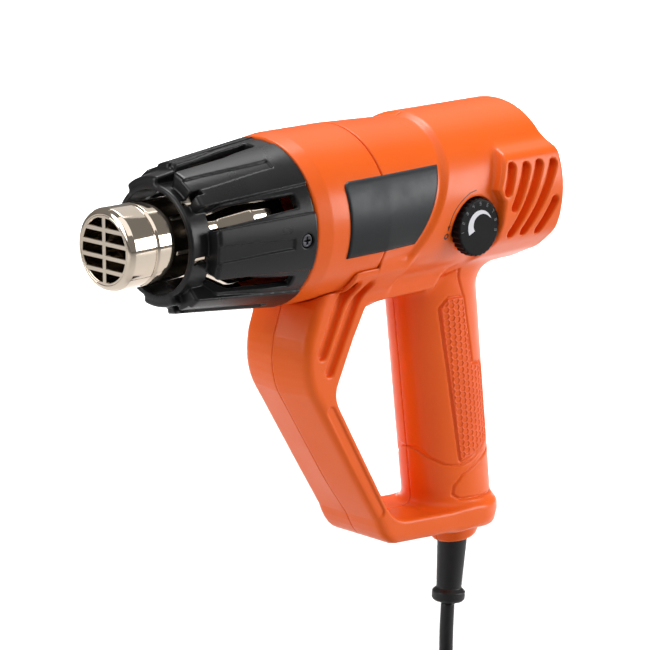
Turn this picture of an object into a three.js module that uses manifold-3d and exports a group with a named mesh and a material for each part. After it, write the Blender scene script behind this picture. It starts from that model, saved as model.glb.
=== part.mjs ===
// Heat gun with a closed hand guard, modelled as an assembly of separate solids.
// Millimetres, +Z up, nozzle towards -X. The parts are drawn in the barrel frame, whose X axis is
// the barrel's own axis with x = 0 just behind the nozzle's rounded lip; the exported group shifts
// that frame so that the origin is the middle of the hand grip.
import * as THREE from 'three';
import { mergeVertices } from 'three/addons/utils/BufferGeometryUtils.js';
import Module from 'manifold-3d';

const wasm = await Module();
wasm.setup();

// ---- driving dimensions ----
const GAP = 0.3;
const ROUND = 32;
const SMALL_ROUND = 10;

const BARREL = { radius: 37.5, wall: 3, seamX: 126.2, rearX: 233, edge: 1.5 };
const STEP = { x: 20.5, z: 67, radius: 152, drop: 1.0 };
const NOZZLE = { radius: 17.5, wall: 0.9, lipX: -2, rearX: 116, chamberRadius: 24 };
const GUARD = { ringX: 24.5, ribX: 29, rearX: 84.1, frontRadius: 30.5, rearRadius: 36.4, valley: 1.2 };
const COLLAR = { frontX: 84.4, rimX: 92.6, frontRadius: 36.4 };
const GRIP = { x: 196, z: -95, rake: 6.75, depth: 24, depthLow: 22.8, halfWidth: 17.6 };
const FRAME_HALF_WIDTH = 20.5;
const LEG = { strip: [[109.6, -85.2], [140.2, -137.4]], stripWidth: 5.2, stripDepth: 0.8, grooveDepth: 2.6 };
const BASE = { slope: 4.5, x: 207.2, z: -158.6, rearX: 205.5, rearRadius: 20.5 };
const GLAND = { bore: 7.9, radius: 10.4, bottom: -8 };
const BOSS = { radius: 42.8, backX: BARREL.rearX, innerRadius: 28.5 };
const DIAL = { x: 180, z: -10.8, radius: 13.1, faceY: -39.6, seatY: -34.2 };
const LABEL = { frontX: 102.5, top: 18.7, bottom: -14, thickness: 0.6 };
const SWITCH = { halfWidth: 6, recess: 3.2, recessHalfWidth: 7.5, low: 11, high: 47, stroke: 8 };
const HEATER = { frontX: 66, length: 45, radius: 12.5, slotRadius: 5, wireRadius: 16.5, wireThickness: 1.2 };
const FAN = { frontX: 149, discX: 161, discThickness: 1.5, radius: 27, hubRadius: 6, blades: 9 };
const MOTOR = { frontX: 174, rearX: 212, radius: 17.5, shaftRadius: 1.5, mountX: 167.5, mountThickness: 3 };
const CORD = { diameter: 6.5, floorZ: -280, dropX: 203, coilY: -55, inner: 35, outer: 41.5, levels: 4 };
const PLUG = { halfThickness: 8, pinSpacing: 19, restZ: CORD.floorZ + 8.1 };

const CAVITY_RADIUS = BARREL.radius - BARREL.wall;
const RIBS = [[-4, 33.6], [56, 29], [116, 36], [176, 33.6], [236, 36], [296, 29]];
const RIB_HALF_ANGLE = 19.5;
const VENTS = [[[200, 13.5], [195.7, 3.5]], [[209.2, 12.7], [200.3, -4]], [[217.8, 12.8], [201, -16.3]],
  [[226.9, 12.1], [209.5, -16.3]], [[226.8, -4.4], [219.5, -17]]];
const GUARD_SCREW = { x: 78.8, angles: [-4, 176], shank: 1.4, bore: 1.8, head: 2.9, headHole: 3.2 };
const HOUSING_SCREW = { shank: 1.5, bore: 1.8, head: 3.1, headHole: 3.5, seatY: 12.7, post: 4.2 };
const HOUSING_SCREWS = [[101, -62], [149, -149.5], [184, -151.5], [187, -46.5], [224, -28], [224, 28]];

// ---- from three.js geometry to closed solids and back ----
function signedVolume(points, triangles) {
  let six = 0;
  for (let i = 0; i < triangles.length; i += 3) {
    const [a, b, c] = [0, 1, 2].map((k) => new THREE.Vector3().fromArray(points, 3 * triangles[i + k]));
    six += a.dot(b.cross(c));
  }
  return six / 6;
}

function solidOf(geometry) {
  const bare = new THREE.BufferGeometry();
  bare.setAttribute('position', geometry.attributes.position.clone());
  if (geometry.index) bare.setIndex(geometry.index.clone());
  const merged = mergeVertices(bare, 1e-4);
  const corners = merged.index.array;
  const kept = [];
  for (let i = 0; i < corners.length; i += 3) {
    const [a, b, c] = [corners[i], corners[i + 1], corners[i + 2]];
    if (a !== b && b !== c && c !== a) kept.push(a, b, c);
  }
  const vertProperties = new Float32Array(merged.attributes.position.array);
  if (signedVolume(vertProperties, kept) < 0) kept.reverse();
  return new wasm.Manifold(new wasm.Mesh({ numProp: 3, vertProperties, triVerts: new Uint32Array(kept) }));
}

function geometryOf(solid) {
  const { vertProperties, triVerts, numProp } = solid.getMesh();
  const geometry = new THREE.BufferGeometry();
  const points = new Float32Array((vertProperties.length / numProp) * 3);
  for (let i = 0; i < points.length / 3; i++) {
    for (let k = 0; k < 3; k++) points[3 * i + k] = vertProperties[numProp * i + k];
  }
  geometry.setAttribute('position', new THREE.BufferAttribute(points, 3));
  geometry.setIndex(new THREE.BufferAttribute(new Uint32Array(triVerts), 1));
  return geometry;
}

function join(...geometries) {
  return geometryOf(geometries.map(solidOf).reduce((sum, next) => sum.add(next)));
}

function cut(geometry, ...tools) {
  return geometryOf(tools.map(solidOf).reduce((rest, tool) => rest.subtract(tool), solidOf(geometry)));
}

function common(first, second) {
  return geometryOf(solidOf(first).intersect(solidOf(second)));
}

// The same form on the other side of the gun's middle plane, still facing outwards.
function mirrored(geometry) {
  return geometryOf(solidOf(geometry.clone().scale(1, -1, 1)));
}

// ---- simple shapes ----
function block(x0, x1, y0, y1, z0, z1) {
  const box = new THREE.BoxGeometry(x1 - x0, y1 - y0, z1 - z0);
  return box.translate((x0 + x1) / 2, (y0 + y1) / 2, (z0 + z1) / 2);
}

function rodX(radius, x0, x1, y = 0, z = 0, sides = SMALL_ROUND) {
  const rod = new THREE.CylinderGeometry(radius, radius, x1 - x0, sides);
  return rod.rotateZ(-Math.PI / 2).translate((x0 + x1) / 2, y, z);
}

function rodY(radius, y0, y1, x, z, sides = SMALL_ROUND) {
  return new THREE.CylinderGeometry(radius, radius, y1 - y0, sides).translate(x, (y0 + y1) / 2, z);
}

function rodZ(radius, z0, z1, x = 0, y = 0, sides = SMALL_ROUND) {
  const rod = new THREE.CylinderGeometry(radius, radius, z1 - z0, sides);
  return rod.rotateX(Math.PI / 2).translate(x, y, (z0 + z1) / 2);
}

// A profile of [x, radius] pairs turned about the X axis.
function turned(profile, sides = ROUND) {
  const points = profile.map(([x, radius]) => new THREE.Vector2(radius, x));
  const onAxis = profile[0][1] === 0 && profile.at(-1)[1] === 0;
  if (!onAxis) points.push(points[0].clone());
  return new THREE.LatheGeometry(points, sides).rotateZ(-Math.PI / 2);
}

// The same profile swept only from one angle to another; 0 degrees is the -Y side, 90 is the top.
function turnedSector(profile, fromDegrees, toDegrees, steps) {
  const contour = profile.map(([x, radius]) => new THREE.Vector2(x, radius));
  const caps = THREE.ShapeUtils.triangulateShape(contour, []);
  const points = [];
  for (let step = 0; step <= steps; step++) {
    const angle = THREE.MathUtils.degToRad(fromDegrees + ((toDegrees - fromDegrees) * step) / steps);
    for (const [x, radius] of profile) points.push(x, -radius * Math.cos(angle), radius * Math.sin(angle));
  }
  const count = profile.length;
  const index = [];
  for (let step = 0; step < steps; step++) {
    for (let k = 0; k < count; k++) {
      const here = step * count + k;
      const next = step * count + ((k + 1) % count);
      index.push(here, next, next + count, here, next + count, here + count);
    }
  }
  const last = steps * count;
  const winding = Math.sign(THREE.ShapeUtils.area(contour));
  for (const [a, b, c] of caps) {
    const sameWay = Math.sign(THREE.ShapeUtils.area([contour[a], contour[b], contour[c]])) === winding;
    const [p, q] = sameWay ? [b, c] : [c, b];
    index.push(a, q, p);
    index.push(last + a, last + p, last + q);
  }
  const geometry = new THREE.BufferGeometry();
  geometry.setAttribute('position', new THREE.Float32BufferAttribute(points, 3));
  geometry.setIndex(index);
  return geometry;
}

function shapeOf(outline) {
  if (outline instanceof THREE.Shape) return outline;
  return new THREE.Shape(outline.map(([a, b]) => new THREE.Vector2(a, b)));
}

// An outline in x and z, as thick as from y0 to y1.
function prismY(outline, y0, y1, curveSegments = 6) {
  const options = { depth: y1 - y0, bevelEnabled: false, curveSegments };
  return new THREE.ExtrudeGeometry(shapeOf(outline), options).rotateX(Math.PI / 2).translate(0, y1, 0);
}

// An outline in x and y, as thick as from z0 to z1.
function prismZ(outline, z0, z1, curveSegments = 10) {
  const options = { depth: z1 - z0, bevelEnabled: false, curveSegments };
  return new THREE.ExtrudeGeometry(shapeOf(outline), options).translate(0, 0, z0);
}

// A straight slot with round ends between two points.
function slotOutline([ax, az], [bx, bz], halfWidth) {
  const along = Math.atan2(bz - az, bx - ax);
  const outline = new THREE.Shape();
  outline.absarc(ax, az, halfWidth, along + Math.PI / 2, along + 1.5 * Math.PI, false);
  outline.absarc(bx, bz, halfWidth, along - Math.PI / 2, along + Math.PI / 2, false);
  return outline;
}

// A stack of closed rings of equal point counts, capped at both ends.
function loft(rings) {
  const count = rings[0].length;
  const points = rings.flat().flatMap((point) => point.toArray());
  const index = [];
  for (let ring = 0; ring < rings.length - 1; ring++) {
    for (let k = 0; k < count; k++) {
      const here = ring * count + k;
      const next = ring * count + ((k + 1) % count);
      index.push(here, next, next + count, here, next + count, here + count);
    }
  }
  const last = (rings.length - 1) * count;
  for (let k = 1; k < count - 1; k++) {
    index.push(0, k + 1, k);
    index.push(last, last + k, last + k + 1);
  }
  const geometry = new THREE.BufferGeometry();
  geometry.setAttribute('position', new THREE.Float32BufferAttribute(points, 3));
  geometry.setIndex(index);
  return geometry;
}

function tube(points, radius, sides, steps) {
  const section = new THREE.Shape();
  section.absarc(0, 0, radius, 0, 2 * Math.PI, false);
  const path = new THREE.CatmullRomCurve3(points.map((point) => new THREE.Vector3(...point)));
  const options = { steps, bevelEnabled: false, extrudePath: path, curveSegments: sides };
  return new THREE.ExtrudeGeometry(section, options);
}

// ---- materials ----
function plastic(color, roughness) {
  return new THREE.MeshStandardMaterial({ color, roughness, metalness: 0 });
}

function metal(color, roughness) {
  return new THREE.MeshStandardMaterial({ color, roughness, metalness: 1 });
}

const orange = () => plastic(0xf0642a, 0.35);
const black = () => plastic(0x252427, 0.45);
const knobBlack = () => plastic(0x1b1b1d, 0.4);
const labelGrey = () => plastic(0x34383b, 0.5);
const rubber = () => plastic(0x1a1a1b, 0.7);
const white = () => plastic(0xe8e6df, 0.5);
const mica = () => plastic(0xb9a27c, 0.6);
const ceramic = () => plastic(0xcfc6b8, 0.8);
const boardGreen = () => plastic(0x2f6b45, 0.5);
const chrome = () => metal(0xd9d3ca, 0.12);
const steel = () => metal(0x9a9a9c, 0.35);
const brass = () => metal(0xc8a85a, 0.3);

function piece(name, geometry, material) {
  const mesh = new THREE.Mesh(geometry, material);
  mesh.name = name;
  return mesh;
}

// ---- tilted frames of the grip and the base ----
const gripFrame = new THREE.Matrix4()
  .makeRotationY(-THREE.MathUtils.degToRad(GRIP.rake))
  .setPosition(GRIP.x, 0, GRIP.z);
const baseFrame = new THREE.Matrix4()
  .makeRotationY(THREE.MathUtils.degToRad(BASE.slope))
  .setPosition(BASE.x, 0, BASE.z);

function inFrame(frame, geometry) {
  return geometry.applyMatrix4(frame);
}

function framed(frame, ...pieces) {
  const group = new THREE.Group();
  frame.decompose(group.position, group.quaternion, group.scale);
  group.add(...pieces);
  return group;
}

// ---- housing ----
function gripBody(inset, low, high, sides) {
  const rings = [low, high].map((z) => {
    const share = (z + 70) / 140;
    const depth = GRIP.depthLow + (GRIP.depth - GRIP.depthLow) * share - inset;
    const ring = [];
    for (let k = 0; k < sides; k++) {
      const angle = (2 * Math.PI * k) / sides;
      ring.push(new THREE.Vector3(depth * Math.cos(angle), (GRIP.halfWidth - inset) * Math.sin(angle), z));
    }
    return ring;
  });
  return inFrame(gripFrame, loft(rings));
}

// Side view of the hand guard: front leg, web under the barrel and base, open where the grip stands.
function frameOutline() {
  const outline = new THREE.Shape();
  outline.moveTo(106, -28);
  outline.lineTo(99.5, -38.5);
  outline.lineTo(94.6, -52);
  outline.quadraticCurveTo(91.6, -66, 97, -76.5);
  outline.lineTo(137.3, -141.4);
  outline.quadraticCurveTo(142, -154.2, 150, -155.0);
  outline.lineTo(227, -161.0);
  outline.lineTo(227, -150.2);
  outline.lineTo(153, -144.4);
  outline.quadraticCurveTo(147, -143.6, 141, -132.2);
  outline.lineTo(113.2, -84);
  outline.quadraticCurveTo(110, -79, 113.2, -73);
  outline.lineTo(126.8, -45);
  outline.lineTo(129.9, -40.4);
  outline.lineTo(172, -40.4);
  outline.lineTo(182, -28);
  outline.closePath();
  return outline;
}

function baseFootprint(inset) {
  const outline = new THREE.Shape();
  const halfWidth = FRAME_HALF_WIDTH - inset;
  outline.moveTo(80, halfWidth);
  outline.lineTo(80, -halfWidth);
  outline.absarc(BASE.rearX, 0, BASE.rearRadius - inset, -Math.PI / 2, Math.PI / 2, false);
  outline.closePath();
  return outline;
}

function ventBoss() {
  const { radius, backX, innerRadius } = BOSS;
  const outline = [[196.6, 19.5], [190, 4.5], [195.5, -1], [198.8, -6.5], [200.2, -19.5], [backX, -21.5],
    [backX, 19.5]];
  const skin = turned([[180, 0], [180, radius], [backX, radius], [backX, 0]]);
  return common(prismY(outline, -radius - 1, -innerRadius), skin);
}

function ventSlots() {
  const halfWidth = 2.3;
  return VENTS.map(([from, to]) => prismY(slotOutline(from, to, halfWidth), -BOSS.radius - 2, -24));
}

// The outer form of the two joined halves, without what is cut out of them.
function housingForm() {
  const { radius, rearX, edge, seamX } = BARREL;
  const barrel = turned([[seamX, 0], [seamX, radius], [rearX - edge, radius], [rearX, radius - edge],
    [rearX, 0]]);
  const front = new THREE.Shape();
  front.absarc(STEP.x, STEP.z, STEP.radius, -0.5 * Math.PI, 0.35 * Math.PI, false);
  front.lineTo(0, 200);
  front.lineTo(0, -90);
  const sleeve = turned([[seamX - 1, radius - STEP.drop], [seamX - 1, radius + 9], [190, radius + 9],
    [190, radius - STEP.drop]]);
  const stepped = cut(barrel, common(prismY(front, -60, 60, 16), sleeve));
  const collarSpace = turned([[60, 0], [60, radius + GAP], [seamX, radius + GAP], [seamX, 0]]);
  const band = prismY(frameOutline(), -FRAME_HALF_WIDTH, FRAME_HALF_WIDTH);
  const frame = cut(common(band, prismZ(baseFootprint(0), -200, -20)), collarSpace);
  const gland = inFrame(baseFrame, rodZ(GLAND.radius, GLAND.bottom, 3, 0, 0, 16));
  const nearBoss = ventBoss();
  const farBoss = mirrored(nearBoss);
  return join(stepped, frame, gripBody(0, -56, 66, 20), gland, nearBoss, farBoss);
}

function housingCavity() {
  const hollow = turned([[0, 0], [0, CAVITY_RADIUS], [BARREL.rearX - BARREL.wall, CAVITY_RADIUS],
    [BARREL.rearX - BARREL.wall, 0]]);
  const barrel = common(hollow, block(BARREL.seamX - 2, 300, -60, 60, -60, 60));
  const legOutline = [[104, -41], [98, -53], [96.6, -64], [100.5, -75], [109, -75.5], [110, -73], [124, -44],
    [124, -41]];
  const leg = prismY(legOutline, -FRAME_HALF_WIDTH + 3, FRAME_HALF_WIDTH - 3);
  const baseOutline = [[150, -147.2], [150, -151.3], [219, -156.7], [219, -152.4]];
  const base = common(prismY(baseOutline, -17.5, 17.5), prismZ(baseFootprint(3), -200, -20));
  return join(barrel, gripBody(2.8, -56.5, 70, 20), leg, base);
}

// Spaces cut through the walls: dial seat, switch recess, cord gland, vents, grooves, screw holes.
function housingCuts() {
  const { x, z, radius, faceY, seatY } = DIAL;
  const { recess, recessHalfWidth, low, high } = SWITCH;
  const seat = block(GRIP.depth - recess, 40, -recessHalfWidth, recessHalfWidth, low, high);
  const stemSlot = block(10, 40, -4.3, 4.3, low + 5, high - 5);
  return [
    rodY(radius + 0.7, faceY - 2, seatY, x, z, 24),
    rodY(3.6, seatY - 1, -20, x, z),
    inFrame(gripFrame, seat),
    inFrame(gripFrame, stemSlot),
    inFrame(baseFrame, rodZ(GLAND.bore, GLAND.bottom - 4, 14, 0, 0, 16)),
    ...ventSlots(),
    ...ventSlots().map(mirrored),
    ...legGrooves(),
    ...legGrooves().map(mirrored),
  ];
}

// Two deep grooves at the top of the near side of the leg and a long shallow strip down its middle.
function legGrooves() {
  const grooves = [slotOutline([115, -33], [102.6, -58.6], 2.5), slotOutline([124, -34], [107, -66.8], 2.5)];
  const strip = slotOutline(...LEG.strip, LEG.stripWidth / 2);
  return [
    ...grooves.map((groove) => prismY(groove, -40, -FRAME_HALF_WIDTH + LEG.grooveDepth)),
    prismY(strip, -40, -FRAME_HALF_WIDTH + LEG.stripDepth),
  ];
}

// Solid pads inside the shell that carry the dial seat and the screw posts.
function housingPosts() {
  const pad = rodY(DIAL.radius + 3, -CAVITY_RADIUS - 1, DIAL.seatY + 2.7, DIAL.x, DIAL.z, 20);
  const posts = HOUSING_SCREWS.map(([x, z]) => rodY(HOUSING_SCREW.post, -30, 30, x, z));
  return [pad, ...posts];
}

function housingHalf(side, form, cavity) {
  const shell = cut(form, cavity);
  const solid = join(shell, ...housingPosts().map((post) => common(post, form)));
  const opened = cut(solid, ...housingCuts());
  const kept = side < 0 ? block(0, 300, -60, -GAP / 2, -250, 60) : block(0, 300, GAP / 2, 60, -250, 60);
  return cut(common(opened, kept), ...HOUSING_SCREWS.flatMap(([x, z]) => screwHoles(side, x, z)));
}

// The screws go in from the far side: a blind hole in the near half, a bore and a head hole in the far one.
function screwHoles(side, x, z) {
  const { bore, headHole, seatY } = HOUSING_SCREW;
  if (side < 0) return [rodY(bore, -9, 1, x, z)];
  return [rodY(bore, -1, 60, x, z), rodY(headHole, seatY, 60, x, z)];
}

function housing() {
  const form = housingForm();
  const cavity = housingCavity();
  return [
    piece('housing_left', housingHalf(-1, form, cavity), orange()),
    piece('housing_right', housingHalf(1, form, cavity), orange()),
  ];
}

function housingScrew(number, x, z) {
  const { shank, head, seatY } = HOUSING_SCREW;
  const underside = seatY + GAP;
  const screw = join(rodY(shank, -8, underside + 0.5, x, z), rodY(head, underside, underside + 2.4, x, z));
  const cross = [[1.7, 0.4], [0.4, 1.7]].map(([a, b]) =>
    block(x - a, x + a, underside + 1.4, underside + 3, z - b, z + b));
  return piece(`housing_screw_${number}`, cut(screw, ...cross), steel());
}

// ---- front collar, nose guard and nozzle ----
function frontCollar() {
  const { frontX, rimX, frontRadius } = COLLAR;
  const rearX = BARREL.seamX - GAP;
  const ring = turned([[frontX, 28.8], [frontX, frontRadius], [rimX, BARREL.radius], [rearX, BARREL.radius],
    [rearX, CAVITY_RADIUS - GAP], [132, CAVITY_RADIUS - GAP],
    [132, 32], [rearX - 5, 32], [rearX - 8, 34.5], [92, 34.5], [88, 28.8]]);
  const tongue = turned([[72, 28.8], [72, 31.1], [frontX + 1, 31.1], [frontX + 1, 28.8]]);
  return piece('front_collar', cut(join(ring, tongue), ...guardScrewRods(GUARD_SCREW.bore, -20)), orange());
}

// Rods at both guard screws, from outside the guard in to the given y.
function guardScrewRods(radius, innerY) {
  return GUARD_SCREW.angles.map((angle) =>
    rodY(radius, -45, innerY, GUARD_SCREW.x, 0).rotateX(-THREE.MathUtils.degToRad(angle)));
}

function guardRadius(x) {
  const { ribX, rearX, frontRadius, rearRadius } = GUARD;
  return frontRadius + ((rearRadius - frontRadius) * (x - ribX)) / (rearX - ribX);
}

function guardRib(angle, startX) {
  const { rearX, rearRadius } = GUARD;
  const profile = [[startX, 21.6], [startX, guardRadius(startX)], [rearX, rearRadius], [rearX, 31.9],
    [72, 31.9], [46, guardRadius(46) - 4.4]];
  return turnedSector(profile, angle - RIB_HALF_ANGLE, angle + RIB_HALF_ANGLE, 6);
}

// Raised blocks on the front ring, one at the top and one at the bottom.
function guardBlocks() {
  const profile = [[GUARD.ringX, 20.8], [GUARD.ringX, 27.5], [38, 29.5], [38, 21.8]];
  return [turnedSector(profile, 85, 128, 6), turnedSector(profile, -105, -62, 6)];
}

// The ring at the front and the cone behind it, which the ribs stand on.
function guardCone() {
  const { ringX, rearX, valley } = GUARD;
  return turned([[ringX, 20.6], [ringX, 24.5], [36, 24.5], [40, guardRadius(40) - valley - 0.8],
    [rearX, guardRadius(rearX) - valley], [rearX, 31.4], [72, 31.4], [46, guardRadius(46) - 4.6],
    [37, 21.6]]);
}

// Between each two ribs a long window; along each rib a shallow channel, open at the front.
function guardOpenings() {
  const window = [[35, 20], [35, 40], [76.5, 40], [76.5, 20]];
  const channel = [[20, guardRadius(20) - 0.9], [20, 45], [72.5, 45], [72.5, guardRadius(72.5) - 0.9]];
  return RIBS.flatMap(([angle]) => [
    turnedSector(window, angle + 24, angle + 36, 2),
    turnedSector(channel, angle - 5, angle + 5, 2),
  ]);
}

function noseGuard() {
  const bore = turned([[0, 0], [0, 20.6], [40, 20.6], [46, guardRadius(46) - 4.6], [72, 31.4], [90, 31.4],
    [90, 0]]);
  const holes = [...guardScrewRods(GUARD_SCREW.bore, -20), ...guardScrewRods(GUARD_SCREW.headHole, -34.3)];
  const body = join(guardCone(), ...RIBS.map(([angle, startX]) => guardRib(angle, startX)), ...guardBlocks());
  return piece('nose_guard', cut(body, bore, ...guardOpenings(), ...holes), black());
}

function guardScrew(number, angle) {
  const { x, shank, head } = GUARD_SCREW;
  const screw = join(rodY(shank, -35, -29, x, 0, 10), rodY(head, -35.7, -34.6, x, 0));
  const cross = [[1.6, 0.35], [0.35, 1.6]].map(([a, b]) => block(x - a, x + a, -36, -35.1, -b, b));
  const turnedIn = cut(screw, ...cross).rotateX(-THREE.MathUtils.degToRad(angle));
  return piece(`guard_screw_${number}`, turnedIn, steel());
}

function nozzleTube() {
  const { radius, wall, lipX, rearX, chamberRadius } = NOZZLE;
  const groove = 0.8;
  const profile = [[lipX, 15.2], [lipX + 0.6, 16.7], [0.4, radius], [11.4, radius], [12.4, radius - groove],
    [13.4, radius], [46, radius], [60, chamberRadius], [rearX - 2, chamberRadius], [rearX - 2, 27],
    [rearX, 27], [rearX, chamberRadius - wall], [60.4, chamberRadius - wall], [46.4, radius - wall - groove],
    [1, radius - wall - groove], [lipX + 1, 15.2]];
  return piece('nozzle_tube', turned(profile), chrome());
}

function nozzleGrille() {
  const plateRadius = 14.9;
  const windowRadius = 13.8;
  const windowHalfHeight = 1.9;
  const pitch = 5.7;
  const plate = rodX(plateRadius, NOZZLE.lipX, NOZZLE.lipX + 1.4, 0, 0, ROUND);
  const field = rodX(windowRadius, NOZZLE.lipX - 1, NOZZLE.lipX + 3, 0, 0, ROUND);
  const rows = [-2, -1, 0, 1, 2];
  const openings = rows.flatMap((row) => {
    const low = row * pitch - windowHalfHeight;
    const high = row * pitch + windowHalfHeight;
    return [block(-5, 5, -windowRadius - 1, -1, low, high), block(-5, 5, 1, windowRadius + 1, low, high)];
  });
  return piece('nozzle_grille', cut(plate, ...openings.map((opening) => common(opening, field))), chrome());
}

// ---- heater ----
function heaterCore() {
  const { frontX, length, radius, slotRadius } = HEATER;
  const arms = 6;
  const outline = [];
  for (let k = 0; k < arms; k++) {
    const turn = (2 * Math.PI * k) / arms;
    const corners = [[slotRadius, -0.35], [radius, -0.12], [radius, 0.12], [slotRadius, 0.35]];
    for (const [reach, offset] of corners) {
      outline.push([reach * Math.cos(turn + offset), reach * Math.sin(turn + offset)]);
    }
  }
  const star = prismZ(outline, 0, length).rotateY(Math.PI / 2).translate(frontX, 0, 0);
  return piece('heater_core', star, ceramic());
}

function heaterWire() {
  const { frontX, length, wireRadius, wireThickness } = HEATER;
  const turns = 5;
  const stepsPerTurn = 12;
  const steps = turns * stepsPerTurn;
  const points = Array.from({ length: steps + 1 }, (_, k) => {
    const angle = (2 * Math.PI * k) / stepsPerTurn;
    const x = frontX + 3 + ((length - 7) * k) / steps;
    return [x, wireRadius * Math.cos(angle), wireRadius * Math.sin(angle)];
  });
  return piece('heater_wire', tube(points, wireThickness, 2.5, steps), steel());
}

function heater() {
  const sleeve = turned([[63, 21], [63, 22.4], [113, 22.4], [113, 21]]);
  const flangeX = NOZZLE.rearX + GAP;
  const flange = turned([[flangeX, 22.5], [flangeX, 31.5], [flangeX + 2.4, 31.5], [flangeX + 2.4, 22.5]]);
  return [
    heaterCore(),
    heaterWire(),
    piece('heater_sleeve', sleeve, mica()),
    piece('heater_flange', flange, steel()),
    piece('thermal_cutout', block(103, 113, -4, 4, NOZZLE.chamberRadius + 0.6, 28.4), white()),
  ];
}

// ---- fan and motor ----
function fanImpeller() {
  const { frontX, discX, discThickness, radius, hubRadius } = FAN;
  const disc = rodX(radius, discX, discX + discThickness, 0, 0, 28);
  const hub = rodX(hubRadius, frontX, discX + 1, 0, 0, 18);
  const blades = Array.from({ length: FAN.blades }, (_, k) =>
    block(frontX + 1, discX + 0.5, -0.7, 0.7, 4, radius - 0.5).rotateX((2 * Math.PI * k) / FAN.blades));
  const bore = rodX(MOTOR.shaftRadius + GAP, frontX - 9, discX + 9);
  return piece('fan_impeller', cut(join(disc, hub, ...blades), bore), black());
}

function motorShaft() {
  return piece('motor_shaft', rodX(MOTOR.shaftRadius, FAN.frontX - 1.5, MOTOR.rearX + 3), steel());
}

function motor() {
  const { frontX, rearX, radius, shaftRadius } = MOTOR;
  const bore = shaftRadius + GAP;
  const can = turned([[frontX + 2, bore], [frontX + 2, 6], [frontX, 6], [frontX, radius - 0.5],
    [frontX + 1, radius], [rearX - 1, radius], [rearX, radius - 0.5], [rearX, 6], [rearX + 2.5, 6],
    [rearX + 2.5, bore]], 28);
  return piece('motor', can, steel());
}

// A plate across the barrel behind the fan: the motor's front end sits on its hub, air passes round it.
function motorMount() {
  const { frontX, mountX, mountThickness } = MOTOR;
  const plate = rodX(CAVITY_RADIUS - 3.4, mountX, mountX + mountThickness, 0, 0, ROUND);
  const airWays = Array.from({ length: 6 }, (_, k) =>
    rodX(5.5, 160, 180, 0, 22).rotateX((Math.PI * (2 * k + 1)) / 6));
  const hub = rodX(8, mountX + mountThickness - 0.5, frontX - GAP, 0, 0, 20);
  return piece('motor_mount', cut(join(cut(plate, ...airWays), hub), rodX(3, 160, 180)), white());
}

function airDuct() {
  const duct = turned([[119, 24.5], [119, 26], [128, 27.5], [145, 32.8], [148, 32.8], [148, 31.3],
    [145.4, 31.3], [128.4, 26]]);
  return piece('air_duct', duct, black());
}

// ---- controls ----
function dialKnob() {
  const { x, z, radius, faceY, seatY } = DIAL;
  const body = rodY(radius, faceY + 1, seatY - GAP, x, z, 32);
  const face = new THREE.CylinderGeometry(radius, radius - 1, 1, 32).translate(x, faceY + 0.5, z);
  const count = 16;
  const flutes = Array.from({ length: count }, (_, k) => {
    const angle = (2 * Math.PI * (k + 0.5)) / count;
    const out = radius + 0.5;
    return rodY(1, faceY - 1, seatY + 1, x + out * Math.cos(angle), z + out * Math.sin(angle), 6);
  });
  const socket = rodY(3.3, seatY - 2.6, seatY + 1, x, z);
  return piece('dial_knob', cut(join(body, face), ...flutes, socket), knobBlack());
}

function controls() {
  const { x, z, seatY } = DIAL;
  return [
    dialKnob(),
    piece('dial_shaft', rodY(3, seatY - 2.3, -28.6, x, z), brass()),
    piece('potentiometer', block(x - 5, x + 5, -28.3, -20.7, z - 6.5, z + 6.5), steel()),
    piece('control_board', block(176, 214, -20.4, -18.8, -24, 14), boardGreen()),
  ];
}

function intakeScreen(name, side) {
  const plate = block(192, 229, -29, -27.4, -17, 13.5);
  return piece(name, side < 0 ? plate : mirrored(plate), orange());
}

// The slide switch sits in the grip frame: local +Z runs up the grip and +X points out of its back.
function slideSwitch() {
  const { halfWidth, stroke } = SWITCH;
  const faceX = GRIP.depth - SWITCH.recess + GAP;
  const low = SWITCH.low + 3;
  const length = SWITCH.high - SWITCH.low - 2 * stroke;
  const body = block(0, 14, -halfWidth - 1, halfWidth + 1, SWITCH.low + 2, SWITCH.high - 2);
  const cap = block(faceX, faceX + 2.2, -halfWidth, halfWidth, low, low + length);
  const ribs = Array.from({ length: 4 }, (_, k) =>
    block(faceX + 1, faceX + 2.7, -4.5, 4.5, low + 4 + 3.6 * k, low + 5.2 + 3.6 * k));
  const stem = block(14 + GAP, faceX + 1, -3.5, 3.5, low + 7, low + 13);
  return framed(gripFrame,
    piece('switch_body', body, knobBlack()),
    piece('switch_slider', join(cap, stem, ...ribs), knobBlack()));
}

function gripPad(name, side) {
  const field = [[180, -49.8], [184, -47.2], [193.7, -47.8], [200.2, -81.2], [206, -81.5], [211.5, -112],
    [210.5, -119], [193.5, -124.9]];
  const shell = cut(gripBody(-1.0, -50, 60, 20), gripBody(-GAP, -52, 62, 20));
  const pad = common(shell, prismY(field, -40, 0));
  return piece(name, side < 0 ? pad : mirrored(pad), orange());
}

function labelPlate(name, side) {
  const { frontX, top, bottom, thickness } = LABEL;
  const reach = STEP.radius - 2;
  const cornerX = (z) => STEP.x + Math.sqrt(reach ** 2 - (z - STEP.z) ** 2);
  const steps = 6;
  const rear = Array.from({ length: steps + 1 }, (_, k) => bottom + ((top - bottom) * k) / steps);
  const corners = rear.map((z) => [cornerX(z), z]);
  const outline = [[frontX + 1, top], [frontX, top - 1], [frontX, bottom], ...corners];
  const inner = BARREL.radius + GAP;
  const skin = turned([[95, inner], [95, inner + thickness], [175, inner + thickness], [175, inner]], 48);
  const plate = common(prismY(outline, -45, -5), skin);
  return piece(name, side < 0 ? plate : mirrored(plate), labelGrey());
}

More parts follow.
